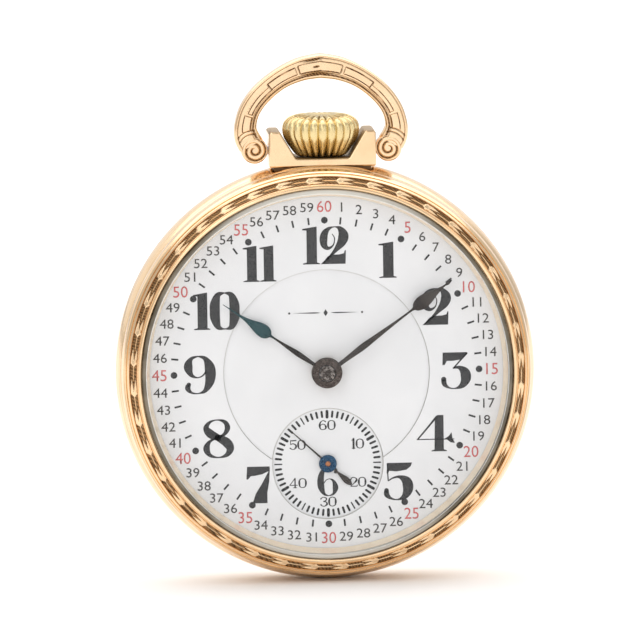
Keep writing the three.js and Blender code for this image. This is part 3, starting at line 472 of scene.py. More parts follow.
def rough_steel(name, bright, dark):
    """A hand's worn boss: dark, with bright scuffs and a hammered surface."""
    paint = Paint(name)
    scuff = paint.noise(2.4, 5.0, 0.7)
    fine = paint.noise(7.0, 3.0, 0.6)
    color = paint.blend(scuff, 0.48, 0.66, dark, bright)
    normal = paint.bump(fine, 0.02, 0.6, paint.bump(scuff, 0.12, 0.8))
    return paint.surface(color, paint.remap(fine, 0.3, 0.7, 0.3, 0.5), normal, 1.0)


def enamel(name, light, dark):
    """Fired white enamel: glossy, very slightly uneven, with faint warm and cold patches."""
    paint = Paint(name)
    cloud = paint.noise(0.12, 3.0, 0.55)
    ripple = paint.noise(0.5, 2.0, 0.5)
    specks = paint.put("ShaderNodeTexVoronoi", {"Vector": paint.place, "Scale": 0.9})
    color = paint.blend(cloud, 0.3, 0.7, light, dark)
    color = paint.mix(paint.remap(specks, 0.012, 0.03, 0.5, 0.0), color, (0.45, 0.42, 0.38))
    paint.attach("Coat Weight", 0.35)
    paint.attach("Coat Roughness", 0.04)
    roughness = paint.remap(ripple, 0.3, 0.7, 0.10, 0.2)
    return paint.surface(color, roughness, paint.bump(ripple, 0.03, 0.35))


def ink(name, light, dark):
    """Fired figures: dense, with slightly thinner colour in places."""
    paint = Paint(name)
    grain = paint.noise(4.0, 4.0, 0.6)
    color = paint.blend(grain, 0.35, 0.7, dark, light)
    paint.attach("Specular IOR Level", 0.12)
    roughness = paint.remap(grain, 0.3, 0.7, 0.25, 0.4)
    return paint.surface(color, roughness, paint.bump(grain, 0.004, 0.4))


def crystal_glass():
    """Clear glass, nearly invisible over the dial, with a painted highlight line and a painted dark
    edge reflection.
    """
    paint = Paint("crystal_glass")
    radius, turn = paint.polar()
    smear = paint.noise(0.25, 3.0, 0.6)
    top_bottom_reflection = paint.math("ABSOLUTE", paint.math("COSINE", paint.times(turn, TAU)))
    patchy = paint.noise(0.3, 2.0, 0.5)
    # Painted highlight: a bright, nearly opaque line near the rim.
    line = paint.remap(radius, 21.54, 21.57, 0.0, 1.0)
    # Painted reflection: a dark edge round the bevel, paler at top and bottom.
    edge = paint.remap(radius, 21.6, 21.66, 0.0, 1.0)
    edge_reflection = paint.blend(patchy, 0.35, 0.65, (0.22, 0.19, 0.14), (0.10, 0.085, 0.06))
    edge_reflection = paint.blend(top_bottom_reflection, 0.75, 1.0, edge_reflection, (0.62, 0.60, 0.54))
    color = paint.mix(line, (0.3, 0.33, 0.35), (0.95, 0.95, 0.93))
    color = paint.mix(edge, color, edge_reflection)
    alpha = paint.add(paint.times(line, 0.62), paint.times(edge, 0.3))
    alpha = paint.add(alpha, paint.remap(smear, 0.3, 0.7, 0.02, 0.04))
    paint.attach("Base Color", color)
    paint.attach("Roughness", paint.remap(smear, 0.3, 0.7, 0.02, 0.05))
    paint.attach("Alpha", alpha)
    return paint.material


def ruby():
    paint = Paint("jewel_ruby")
    depth = paint.noise(1.5, 3.0, 0.6)
    color = paint.mix(depth, (0.55, 0.015, 0.06), (0.28, 0.0, 0.02))
    roughness = paint.remap(depth, 0.3, 0.7, 0.03, 0.1)
    return paint.surface(color, roughness, paint.bump(depth, 0.003, 0.4))


LIGHT_GOLD = (0.92, 0.68, 0.43)
DARK_GOLD = (0.70, 0.46, 0.24)
case_gold = gold("case_gold", LIGHT_GOLD, DARK_GOLD, lathe_wear=0.8)
back_gold = gold("back_gold", LIGHT_GOLD, DARK_GOLD, lathe_wear=0.06)
block_gold = gold("block_gold", LIGHT_GOLD, DARK_GOLD)
# Painted shade for the pendant block's upward faces, which would otherwise shine bright.
shaded_ledge_gold = gold("shaded_ledge_gold", (0.42, 0.30, 0.17), (0.22, 0.15, 0.08), rough=0.42)
band_gold = gold("band_gold", LIGHT_GOLD, DARK_GOLD, rough=0.18, relief=True)
bow_gold = gold("bow_gold", (0.92, 0.68, 0.44), (0.66, 0.42, 0.22), rough=0.2, relief=True)
crown_gold = gold("crown_gold", (0.82, 0.67, 0.36), (0.60, 0.46, 0.22), rough=0.24, relief=True)
rehaut_gold = steel("rehaut_gold", (0.98, 0.87, 0.71), (0.94, 0.79, 0.60), 0.34, metallic=0.4)
# Near-black gold: painted shadow on the recessed neck between the pendant block and the case.
neck_shadow_gold = gold("neck_shadow_gold", (0.16, 0.095, 0.05), (0.06, 0.035, 0.02), rough=0.4)
seat_ring_grey = steel("seat_ring_grey", (0.16, 0.16, 0.15), (0.07, 0.07, 0.065), 0.4)
hand_blue = steel("hand_blue", (0.085, 0.075, 0.068), (0.03, 0.026, 0.025), 0.3, (1, 1, 5), 0.006)
hour_blue = steel("hour_blue", (0.055, 0.048, 0.045), (0.024, 0.022, 0.021), 0.28, (1, 1, 5),
                  0.006, leaf=(0.035, 0.075, 0.082))
seconds_blue = steel("seconds_blue", (0.03, 0.09, 0.17), (0.015, 0.03, 0.06), 0.26)
hub_steel = rough_steel("hub_steel", (0.16, 0.13, 0.115), (0.055, 0.042, 0.036))
cap_steel = rough_steel("cap_steel", (0.42, 0.38, 0.35), (0.045, 0.035, 0.03))
copper_pin = steel("copper_pin", (0.55, 0.24, 0.12), (0.3, 0.12, 0.06), 0.35)
polished_steel = steel("movement_steel", (0.62, 0.63, 0.65), (0.42, 0.43, 0.45), 0.18)
screw_blue = steel("screw_blue", (0.03, 0.09, 0.42), (0.015, 0.03, 0.16), 0.16)
train_gold = sunray("train_gold", (0.83, 0.60, 0.26), (0.66, 0.44, 0.16), (0, 0), 2.0)
barrel_brass = sunray("barrel_brass", (0.74, 0.56, 0.24), (0.55, 0.38, 0.14), BARREL, 3.0)
ratchet_steel = sunray("ratchet_steel", (0.56, 0.57, 0.58), (0.34, 0.35, 0.36), BARREL, 1.6)
crown_wheel_steel = sunray(
    "crown_wheel_steel", (0.56, 0.57, 0.58), (0.34, 0.35, 0.36), CROWN_WHEEL, 1.6)
nickel = damaskeened()
white_enamel = enamel("dial_enamel", (0.845, 0.855, 0.872), (0.80, 0.812, 0.83))
dial_ink = ink("dial_ink", (0.082, 0.081, 0.083), (0.034, 0.034, 0.035))
small_ink = ink("small_ink", (0.11, 0.106, 0.10), (0.06, 0.058, 0.055))
dial_red = ink("dial_red", (0.74, 0.22, 0.22), (0.64, 0.15, 0.15))
dial_line = ink("dial_line", (0.60, 0.59, 0.56), (0.52, 0.51, 0.48))
glass = crystal_glass()
red_jewel = ruby()


# ---------------------------------------------------------------- case, bezel and crystal

def bend(start, control, end, steps):
    """Points of a quadratic curve, without its last one."""
    a, b, c = Vector(start), Vector(control), Vector(end)
    result = []
    for i in range(steps):
        t = i / steps
        result.append(tuple(a.lerp(b, t).lerp(b.lerp(c, t), t)))
    return result


# The flat seat of the pendant on the case ring: its height, half its width and its depths.
SEAT_Z = 23.99
SEAT_HALF = 5.95
SEAT_FRONT, SEAT_BACK = -9.15, -2.45


def case_ring():
    profile = [
        *bend((23.85, -3.25), (25.82, -6.5), (24.46, -9.75), 28), (24.46, -9.75),
        (24.3, -9.8), (22.95, -9.8), (22.95, -9.0), (21.7, -9.0), (21.7, -6.9), (20.7, -6.9),
        (20.7, -6.3), (21.7, -6.3), (21.7, -4.1), (22.95, -4.1), (22.95, -3.2), (23.7, -3.2),
    ]

    def seat(radius, y, angle):
        """Flattens the ring under the pendant."""
        x, z = radius * math.sin(angle), radius * math.cos(angle)
        if z > SEAT_Z and abs(x) < SEAT_HALF and SEAT_FRONT < y < SEAT_BACK:
            return radius * SEAT_Z / z, y
        return radius, y

    ring = turned("case_ring", profile, case_gold, steps=256, shape=seat)
    piece(ring, "case", "case_gold", "case_center")


WALL_TOP = (23.78, -12.02)
BAND_OUTER = (23.66, -12.14)
BAND_INNER = (22.68, -12.80)


def band_point(v, height):
    """A point (r, y) of the engraved band: v runs across it, height is above the band's line."""
    outer, inner = Vector(BAND_OUTER), Vector(BAND_INNER)
    normal = Vector((outer.y - inner.y, inner.x - outer.x)).normalized()
    if normal.y > 0:
        normal = -normal
    return tuple(outer.lerp(inner, v) + normal * height)


def band_recess():
    """The channel in the shell that the engraved band lies in."""
    return [band_point(0.01, -0.22), band_point(0.99, -0.22)]


def bezel_shell():
    profile = [
        (24.3, -9.82), (24.44, -9.9), *bend((24.46, -10.0), (24.4, -11.4), (24.02, -11.72), 12),
        (24.0, -11.75), (23.96, -11.72), (23.93, -11.84), (23.88, -11.82), (23.85, -11.93),
        WALL_TOP, BAND_OUTER, *band_recess(), BAND_INNER,
        (22.64, -12.86), (22.6, -12.84), (22.55, -12.93), (22.42, -12.99), (22.3, -12.98),
        (22.2, -12.9), (22.16, -12.7), (22.16, -11.99), (21.75, -11.96),
        (21.36, -10.64), (22.2, -10.62), (22.2, -9.15), (22.88, -9.15), (22.88, -9.8),
    ]
    shell = turned("bezel_shell", profile, case_gold, steps=288, sharp=28)
    piece(shell, "front_bezel", "case_gold", "bezel")
    # The pale inner slope and a thin dark grey ring in the crystal's seat lie just on the shell.
    slope = [(21.68, -11.9), (21.24, -10.66), (21.08, -10.6), (21.55, -11.92)]
    piece(turned("rehaut", slope, rehaut_gold, steps=256), "front_bezel", "case_gold")
    seam = [(22.14, -11.985), (21.72, -11.95), (21.70, -11.90), (22.14, -11.9)]
    piece(turned("crystal_seam", seam, seat_ring_grey, steps=256), "front_bezel", "case_gold")


# The engraved chain: leaves round the band, and half the width of the stem between them.
LEAVES = 40
STEM_HALF = 0.10
# The band's ground lies this far below the shell, and its leaves rise this much above that.
BAND_SINK = 0.14
BAND_RISE = 0.15


def leaf_height(turn, across):
    """Height from 0 to 1 of the chain of split leaves. turn counts leaves, across is -1 to 1."""
    t = turn % 1.0
    side = abs(across)
    blunt_end = 0.64 - 0.12 * side
    outer = 0.56 + 0.36 * min(1.0, t / 0.34)
    cleft = 0.52 * (1 - t / 0.42) if t < 0.42 else 0.0
    leaf = min((outer - side) / 0.13, (side - cleft) / 0.13 if cleft else 1.0,
               (blunt_end - t) / 0.03)
    leaf = unit(leaf) * (0.8 + 0.2 * t / 0.66)
    if 0.12 < t < 0.6:
        leaf -= 0.3 * swell(side - 0.52, 0.05)
    half = STEM_HALF if t > 0.5 else STEM_HALF * (1 - t / 0.34)
    stem = unit((half - side) / 0.05) if t > 0.5 or t < 0.34 else 0.0
    hatch = 0.2 * (0.5 + 0.5 * math.sin(TAU * (11 * t + 2.5 * side)))
    return max(leaf, 0.85 * stem, hatch)


def engraved_band():
    around, rows = LEAVES * 30, 34
    verts, relief = [], []
    for i in range(around):
        angle = TAU * i / around
        for j in range(rows + 1):
            v = j / rows
            across = 2 * v - 1
            height = leaf_height(-LEAVES * i / around, across * 1.22)
            if abs(across) > 0.78:
                height = 0.95 if abs(across) < 0.83 or abs(across) > 0.93 else 0.15
            verts.append(ring_point(*band_point(v, BAND_RISE * height - BAND_SINK), angle))
            relief.append(height)
        for v in (1.0, 0.0):
            verts.append(ring_point(*band_point(v, -0.2), angle))
            relief.append(1.0)
    band = make("bezel_band", verts, loop_faces(around, rows + 3), band_gold, 60, relief)
    piece(band, "front_bezel", "case_gold")


def crystal():
    outside = [(0, -14.0), *bend((0.05, -14.0), (19.5, -13.98), (21.6, -13.18), 22)[1:],
               *bend((21.6, -13.18), (22.08, -12.98), (22.13, -12.65), 6)]
    inside = [(22.13, -12.02), *bend((21.8, -12.02), (19.6, -12.9), (0.05, -13.0), 16), (0, -13.0)]
    lens = capped("crystal_lens", outside + inside, glass, steps=192)
    piece(lens, "front_bezel", "crystal_glass", "crystal")


def back_cover():
    outside = [(0, 0), (10.9, 0), *bend((11.0, 0), (21.5, 0), (23.8, -3.05), 26), (23.8, -3.12),
               (23.7, -3.18), (22.9, -3.18), (22.9, -4.0), (22.25, -4.0)]
    inside = [*bend((22.25, -3.0), (20.2, -0.62), (11, -0.62), 12), (0, -0.62)]
    cover = capped("back_shell", outside + inside, back_gold, steps=256)
    piece(cover, "back", "case_gold", "back_cover")


# ---------------------------------------------------------------- pendant, crown and bow

PENDANT_DEPTH = (-9.08, -2.52)
# Faces of the block that look up more than this have a darker gold: painted shade on the ledges, in
# place of their bright reflection.
LEDGE_RISE = 0.35


def pendant():
    half = [
        (6.38, 24.42), (6.38, 28.4), (6.18, 28.66), (5.12, 28.66), (4.98, 28.5),
        (3.2, 25.52), (3.0, 25.43), (0.0, 25.43),
    ]
    outline = half + [(-x, z) for x, z in reversed(half[:-1])]
    block = slab("pendant_block", outline, *PENDANT_DEPTH, block_gold, bevel=0.2)
    block.data.materials.append(shaded_ledge_gold)
    for face in block.data.polygons:
        if face.normal.z > LEDGE_RISE:
            face.material_index = 1
    piece(block, "case", "case_gold", "pendant")
    # The neck's near-black gold is painted shadow in the gap under the block.
    foot = [(5.8, 23.9), (5.8, 24.5), (-5.8, 24.5), (-5.8, 23.9)]
    neck = slab("pendant_neck", foot, -8.3, -3.3, neck_shadow_gold, bevel=0.1)
    piece(neck, "case", "case_gold")


RIBS = 24
CROWN_TOP = 30.48
CROWN_FOOT = 25.52
CROWN_HOLLOW = 30.27
# How deep the flutes are, what the foot adds and the top takes away, and how far they sink.
FLUTE_DEPTH, FLUTE_FOOT, FLUTE_TOP, FLUTE_SINK = 0.34, 0.62, 0.14, 0.36


def crown():
    stations = curve_points([
        (2.6, CROWN_FOOT), (3.06, 25.7), (3.62, 26.4), (4.1, 27.1), (4.46, 27.8), (4.6, 28.5),
        (4.58, 29.1), (4.36, 29.65), (3.85, 30.12), (3.1, 30.38), (2.3, CROWN_TOP),
        (1.7, 30.47),
    ], 6)
    stations += [(1.55, 30.40), (1.3, 30.30), (0.8, CROWN_HOLLOW), (0.4, CROWN_HOLLOW)]
    around = RIBS * 18
    verts, relief = [], []
    for i in range(around):
        angle = TAU * i / around
        valley = 1 - abs(math.cos(RIBS * angle / 2)) ** 0.75
        for radius, z in stations:
            low = unit((28.3 - z) / 2.6)
            high = unit((z - 29.0) / 1.3)
            fade = unit((radius - 1.7) / 0.8)
            r = radius - (FLUTE_DEPTH + FLUTE_FOOT * low - FLUTE_TOP * high) * fade * valley
            z -= FLUTE_SINK * high * fade * valley
            verts.append((r * math.sin(angle), STEM_Y - r * math.cos(angle), z))
            # Painted shade: the relief darkens the flute valleys, more toward the foot.
            sharp = max(0.0, (valley - 0.45 + 0.2 * low) / 0.75)
            worn = 1.0 - fade * min(1.0, sharp) * (0.72 + 0.28 * low)
            # The top inside the ends of the flutes is duller all over.
            relief.append(min(worn, 0.36) if radius < 3.3 and high > 0 else worn)
    faces = skin_faces(around, len(stations), 0, len(verts), len(verts) + 1)
    verts += [(0, STEM_Y, CROWN_FOOT), (0, STEM_Y, CROWN_HOLLOW)]
    relief += [0.2, 0.5]
    piece(make("fluted_crown", verts, faces, crown_gold, 70, relief),
          "winding_crown", "crown_gold", "crown")


# Middle line of the bow's right half, with the width of the band there.
BOW_HALF = [
    (8.35, 26.9, 3.1), (8.85, 27.9, 3.0), (9.0, 29.2, 2.65), (8.45, 31.1, 2.5),
    (7.05, 33.0, 2.5), (4.85, 34.74, 2.5), (2.4, 35.84, 2.75), (0.0, 36.26, 2.92),
]
BOW_HALF_DEPTH = 1.2
BOW_CUT = 0.10
# Panels on the bow's face: where each starts and ends along the half bow, and its lower and
# upper edge across the band.
BOW_PANELS = [(0.0, 0.15, -0.34, 0.40), (0.17, 0.36, -0.30, 0.34), (0.36, 0.60, -0.34, 0.06),
              (0.62, 0.78, -0.40, 0.30)]
BOW_LINE = 0.036
# The long lines: where each lies across the band, how deep it is and how wide.
BOW_LINES = [(-0.66, 1.15, 0.10), (-0.50, 0.6, 0.035), (0.70, 0.85, 0.045)]
# Dark worn patches at the top: place along and across the band, half length and half width.
BOW_PATCHES = [(-0.05, 0.60, 0.06, 0.10), (-0.035, 0.02, 0.03, 0.10), (-0.02, -0.52, 0.09, 0.06)]
# The arcs cut round each volute: distance from its centre.
VOLUTE_ARCS = (2.0, 2.45)
VOLUTE_RADIUS = 1.56
VOLUTE_HALF_DEPTH = 1.28
VOLUTE_CUT = 0.17
VOLUTE_PITCH = 0.66


def bow_relief(along, across, x, z):
    """Height from 0 to 1 on the bow's face: border lines, stepped panels, arcs and wear."""
    height = 1.0
    distance = math.hypot(abs(x) - HUB_X, z - PIVOT_Z)
    for radius in VOLUTE_ARCS:
        height -= 0.9 * swell(distance - radius, 0.09)
    for middle, side, length, width in BOW_PATCHES:
        spread = ((along - middle) / length) ** 2 + ((across - side) / width) ** 2
        height -= 1.5 * math.exp(-spread)
    for line, cut, width in BOW_LINES:
        height -= cut * swell(across - line, width)
    place = abs(along)
    wear = 0.55 * max(0.0, noise.noise(Vector((14 * along, 2.5 * across, 3.0))))
    for start, end, low, high in BOW_PANELS:
        inside = start <= place <= end
        near_end = abs(place - end) < 0.004 or (start > 0 and abs(place - start) < 0.004)
        if inside and min(abs(across - low), abs(across - high)) < BOW_LINE:
            height = min(height, 0.08 + wear)
        elif near_end and low <= across <= high:
            height = min(height, 0.08 + wear)
        elif inside and low + 0.05 < across < high - 0.05 and start == 0.0:
            beads = math.sin(TAU * 60 * place) * math.sin(TAU * 4.2 * across)
            height = min(height, 0.72 + 0.28 * beads)
        elif inside and 0.36 <= start < 0.6 and high + 0.04 < across < high + 0.2:
            height = min(height, 0.7 + 0.3 * math.sin(TAU * 70 * place))
    return max(0.0, height)


def bow_section():
    """Points (across, depth) round the band's section, each from -1 to 1, flat on both faces."""
    flat = [-0.78 + 1.56 * i / 46 for i in range(47)]
    corner = [math.pi / 2 * i / 9 for i in range(1, 9)]
    front = [(a, 1.0 - 0.06 * (a / 0.78) ** 2) for a in flat]
    right = [(0.78 + 0.22 * math.sin(t), 0.5 + 0.44 * math.cos(t)) for t in corner]
    right += [(1.0, 0.42), (1.0, 0.0), (1.0, -0.42)]
    right += [(x, -y) for x, y in reversed(right[:8])]
    back = [(a, -y) for a, y in reversed(front)]
    left = [(-x, -y) for x, y in right]
    return front + right + back + left


def bow_band():
    right = curve_points(BOW_HALF, 26)
    line = [(-x, z, w) for x, z, w in right] + [(x, z, w) for x, z, w in reversed(right[:-1])]
    section = bow_section()
    count = len(line)
    verts, relief = [], []
    for i, (x, z, width) in enumerate(line):
        along = heading(line, i)
        outward = Vector((-along.y, along.x))
        for across, deep in section:
            reach = across * width / 2
            here = (x + outward.x * reach, z + outward.y * reach)
            height = 1.0
            if abs(deep) > 0.9 and abs(across) < 0.78:
                height = bow_relief(2 * i / (count - 1) - 1, across, *here)
            depth = BOW_HALF_DEPTH * deep - math.copysign(BOW_CUT * (1 - height), deep)
            verts.append((here[0], STEM_Y - depth, here[1]))
            relief.append(height)
    band = make("bow_band", verts, tube_faces(count, len(section)), bow_gold, 50, relief)
    piece(band, "bow", "bow_gold", "bow")


def volute(side):
    """The scroll at one end of the bow, the same on its front and its back."""
    rings, around = 30, 96
    verts, relief = [], []
    # From the middle of one face over the edge to the middle of the other.
    for face, order in ((-1, range(rings + 1)), (1, range(rings, -1, -1))):
        for i in order:
            radius = VOLUTE_RADIUS * i / rings
            for j in range(around):
                angle = TAU * j / around
                phase = radius / VOLUTE_PITCH + side * face * angle / TAU + 0.25
                ridge = 0.5 + 0.5 * math.cos(TAU * phase)
                height = min(1.0, 1.6 * ridge) if radius > 0.3 else 1.0
                fade = min(1.0, (VOLUTE_RADIUS - radius) / 0.12)
                height = 1 - (1 - height) * fade
                edge = 0.22 * max(0.0, (radius - 1.36) / 0.2) ** 2
                y = STEM_Y + face * (VOLUTE_HALF_DEPTH - VOLUTE_CUT * (1 - height) - edge)
                verts.append(ring_point(radius, y, angle, (side * HUB_X, PIVOT_Z)))
                relief.append(height)
    faces = tube_faces(2 * (rings + 1), around, ends=False)
    name = "volute_right" if side > 0 else "volute_left"
    obj = make(name, verts, faces, bow_gold, 60, relief)
    weld = bmesh.new()
    weld.from_mesh(obj.data)
    bmesh.ops.remove_doubles(weld, verts=weld.verts, dist=1e-7)
    weld.to_mesh(obj.data)
    weld.free()
    piece(obj, "bow", "bow_gold")


# ---------------------------------------------------------------- dial

def crossing(radius, other):
    """Where the centre circle and the seconds circle cross: the angle seen from each middle."""
    z = (radius ** 2 - other ** 2 + SECONDS_Z ** 2) / (2 * SECONDS_Z)
    x = math.sqrt(radius ** 2 - z ** 2)
    return math.atan2(x, z), math.atan2(x, z - SECONDS_Z)


def union_outline(gap=0.0):
    """Outline of the centre circle joined to the seconds circle, grown by gap."""
    radius, other = CENTER_RADIUS + gap, SECONDS_RADIUS + gap
    outer_angle, inner_angle = crossing(radius, other)
    main = arc(radius, -outer_angle, outer_angle, 160)
    lower = arc(other, inner_angle, TAU - inner_angle, 72, (0, SECONDS_Z))
    return main + lower[1:-1]


def plate_with_holes(name, loops, front, back, material, body, slot_name, *replaced):
    """A flat plate from loops of (x, z): the first is the outside, the others are holes."""
    flat = bmesh.new()
    edges = []
    for loop in loops:
        points = [flat.verts.new((x, front, z)) for x, z in loop]
        edges += [flat.edges.new((points[i - 1], points[i])) for i in range(len(points))]
    bmesh.ops.triangle_fill(flat, edges=edges, use_beauty=True)
    top = list(flat.faces)
    grown = bmesh.ops.extrude_face_region(flat, geom=top)
    moved = [item for item in grown["geom"] if isinstance(item, bmesh.types.BMVert)]
    bmesh.ops.translate(flat, vec=(0, back - front, 0), verts=moved)
    flat.verts.index_update()
    verts = [tuple(v.co) for v in flat.verts]
    faces = [tuple(v.index for v in f.verts) for f in flat.faces]
    flat.free()
    return piece(make(name, verts, faces, material), body, slot_name, *replaced)


# Room between one disc of the dial and the next, and the hole for the hands' arbors.
DISC_GAP = 0.03
DIAL_HOLE = 1.7


def dial():
    plate_with_holes("dial_main", [circle(DIAL_RADIUS, 240), union_outline()],
                     DIAL_FRONT, DIAL_BACK, white_enamel, "case", "dial_enamel", "dial_ring")
    # The middle disc, with the seconds circle cut out of it.
    radius, other = CENTER_RADIUS - DISC_GAP, SECONDS_RADIUS + DISC_GAP
    outside, notch = crossing(radius, other)
    outline = arc(radius, -outside, outside, 160)
    outline += arc(other, notch, -notch, 72, (0, SECONDS_Z))[1:-1]
    plate_with_holes("dial_middle", [outline, circle(DIAL_HOLE, 40)],
                     CENTER_FRONT, DIAL_BACK, white_enamel, "case", "dial_enamel", "dial_center")
    profile = [(0.5, SECONDS_FRONT), (6.6, SECONDS_FRONT), (6.6, -9.5), (0.5, -9.5)]
    seconds = turned("dial_bit", profile, white_enamel, steps=160, center=(0, SECONDS_Z))
    piece(seconds, "case", "dial_enamel", "dial_seconds")
    # Thin shaded lines where each sunk disc meets the next.
    plate_with_holes("sunk_line", [union_outline(-0.02), union_outline(-0.075)],
                     CENTER_FRONT - 0.004, CENTER_FRONT + 0.02, dial_line, "case", "dial_enamel")
    front, back = SECONDS_FRONT - 0.004, SECONDS_FRONT + 0.02
    edge = [(6.56, front), (6.63, front), (6.63, back), (6.56, back)]
    piece(turned("seconds_line", edge, dial_line, steps=160, center=(0, SECONDS_Z)),
          "case", "dial_enamel")


# Bold figures in a box one unit high. poly: corner points. stroke: x, y, half the width.
FIGURES = {
    "1": [("poly", [(0.0, 0.0), (0.48, 0.0), (0.48, 0.025), (0.40, 0.05), (0.40, 1.0),
                    (0.37, 1.0), (-0.01, 0.945), (-0.01, 0.91), (0.11, 0.90), (0.11, 0.05),
                    (0.0, 0.025)])],
    "2": [("stroke", [(0.33, 0.80, 0.012), (0.40, 0.68, 0.014), (0.36, 0.50, 0.018),
                      (0.22, 0.42, 0.045), (0.11, 0.50, 0.085), (0.09, 0.68, 0.105),
                      (0.14, 0.84, 0.085), (0.26, 0.95, 0.04), (0.42, 0.985, 0.015),
                      (0.56, 0.93, 0.07), (0.65, 0.76, 0.135), (0.60, 0.58, 0.12),
                      (0.42, 0.36, 0.055), (0.22, 0.16, 0.025), (0.05, 0.02, 0.018)]),
          ("poly", [(0.0, 0.0), (0.70, 0.0), (0.715, 0.36), (0.685, 0.36), (0.66, 0.28),
                    (0.54, 0.25), (0.30, 0.245), (0.20, 0.20), (0.06, 0.04)])],
    "3": [("poly", [(0.04, 1.0), (0.70, 1.0), (0.72, 0.965), (0.52, 0.80), (0.30, 0.77),
                    (0.15, 0.77), (0.09, 0.66), (0.03, 0.66)]),
          ("stroke", [(0.69, 0.97, 0.028), (0.50, 0.76, 0.02), (0.33, 0.57, 0.018)]),
          ("stroke", [(0.31, 0.57, 0.018), (0.48, 0.585, 0.05), (0.63, 0.46, 0.13),
                      (0.66, 0.28, 0.135), (0.56, 0.10, 0.08), (0.38, 0.02, 0.02),
                      (0.20, 0.04, 0.025), (0.08, 0.14, 0.065), (0.06, 0.27, 0.07)])],
    "4": [("poly", [(0.39, 0.0), (0.80, 0.0), (0.80, 0.025), (0.72, 0.05), (0.72, 1.0),
                    (0.56, 1.0), (0.49, 0.94), (0.47, 0.05), (0.39, 0.025)]),
          ("stroke", [(0.55, 0.97, 0.03), (0.28, 0.64, 0.024), (0.03, 0.345, 0.02)]),
          ("poly", [(0.0, 0.32), (1.0, 0.32), (1.0, 0.345), (0.0, 0.35)]),
          ("poly", [(0.74, 0.34), (0.86, 0.42), (0.93, 0.52), (0.95, 0.36), (1.02, 0.22),
                    (0.90, 0.24), (0.82, 0.31)])],
    "5": [("poly", [(0.08, 1.0), (0.76, 1.0), (0.72, 0.90), (0.60, 0.81), (0.34, 0.77),
                    (0.13, 0.79), (0.10, 0.72), (0.06, 0.72)]),
          ("stroke", [(0.085, 0.99, 0.018), (0.09, 0.74, 0.016), (0.10, 0.52, 0.016)]),
          ("stroke", [(0.10, 0.52, 0.014), (0.24, 0.60, 0.022), (0.42, 0.62, 0.045),
                      (0.60, 0.50, 0.13), (0.64, 0.30, 0.135), (0.54, 0.10, 0.08),
                      (0.36, 0.02, 0.02), (0.18, 0.05, 0.03), (0.06, 0.15, 0.07),
                      (0.05, 0.27, 0.06)])],
    "7": [("poly", [(0.02, 1.0), (0.61, 1.0), (0.62, 0.89), (0.42, 0.79), (0.22, 0.75),
                    (0.12, 0.745), (0.04, 0.655), (0.0, 0.655)]),
          ("poly", [(0.62, 0.97), (0.60, 0.60), (0.545, 0.28), (0.545, 0.0), (0.155, 0.0),
                    (0.24, 0.26), (0.40, 0.52), (0.57, 0.84)])],
    "8": [("stroke", [(0.38, 0.53, 0.085), (0.19, 0.63, 0.11), (0.085, 0.78, 0.075),
                      (0.18, 0.93, 0.035), (0.37, 0.985, 0.016), (0.56, 0.93, 0.05),
                      (0.63, 0.78, 0.07), (0.55, 0.62, 0.045), (0.38, 0.53, 0.02),
                      (0.17, 0.43, 0.04), (0.085, 0.25, 0.085), (0.17, 0.08, 0.05),
                      (0.39, 0.017, 0.017), (0.60, 0.08, 0.055), (0.69, 0.24, 0.10),
                      (0.60, 0.40, 0.12), (0.38, 0.53, 0.085)])],
    "9": [("stroke", [(0.38, 0.985, 0.016), (0.56, 0.92, 0.06), (0.68, 0.68, 0.135),
                      (0.68, 0.36, 0.125), (0.56, 0.10, 0.06), (0.38, 0.017, 0.017),
                      (0.20, 0.04, 0.03), (0.10, 0.15, 0.07), (0.13, 0.25, 0.055)]),
          ("stroke", [(0.38, 0.985, 0.016), (0.20, 0.92, 0.05), (0.12, 0.72, 0.115),
                      (0.19, 0.51, 0.06), (0.34, 0.43, 0.018), (0.48, 0.47, 0.018),
                      (0.58, 0.58, 0.02)])],
    "0": [("stroke", [(0.41, 0.985, 0.016), (0.60, 0.93, 0.075), (0.69, 0.70, 0.13),
                      (0.70, 0.50, 0.135), (0.69, 0.30, 0.13), (0.60, 0.07, 0.075),
                      (0.41, 0.016, 0.016), (0.22, 0.07, 0.075), (0.13, 0.30, 0.13),
                      (0.12, 0.50, 0.135), (0.13, 0.70, 0.13), (0.22, 0.93, 0.075),
                      (0.41, 0.985, 0.016)])],
}


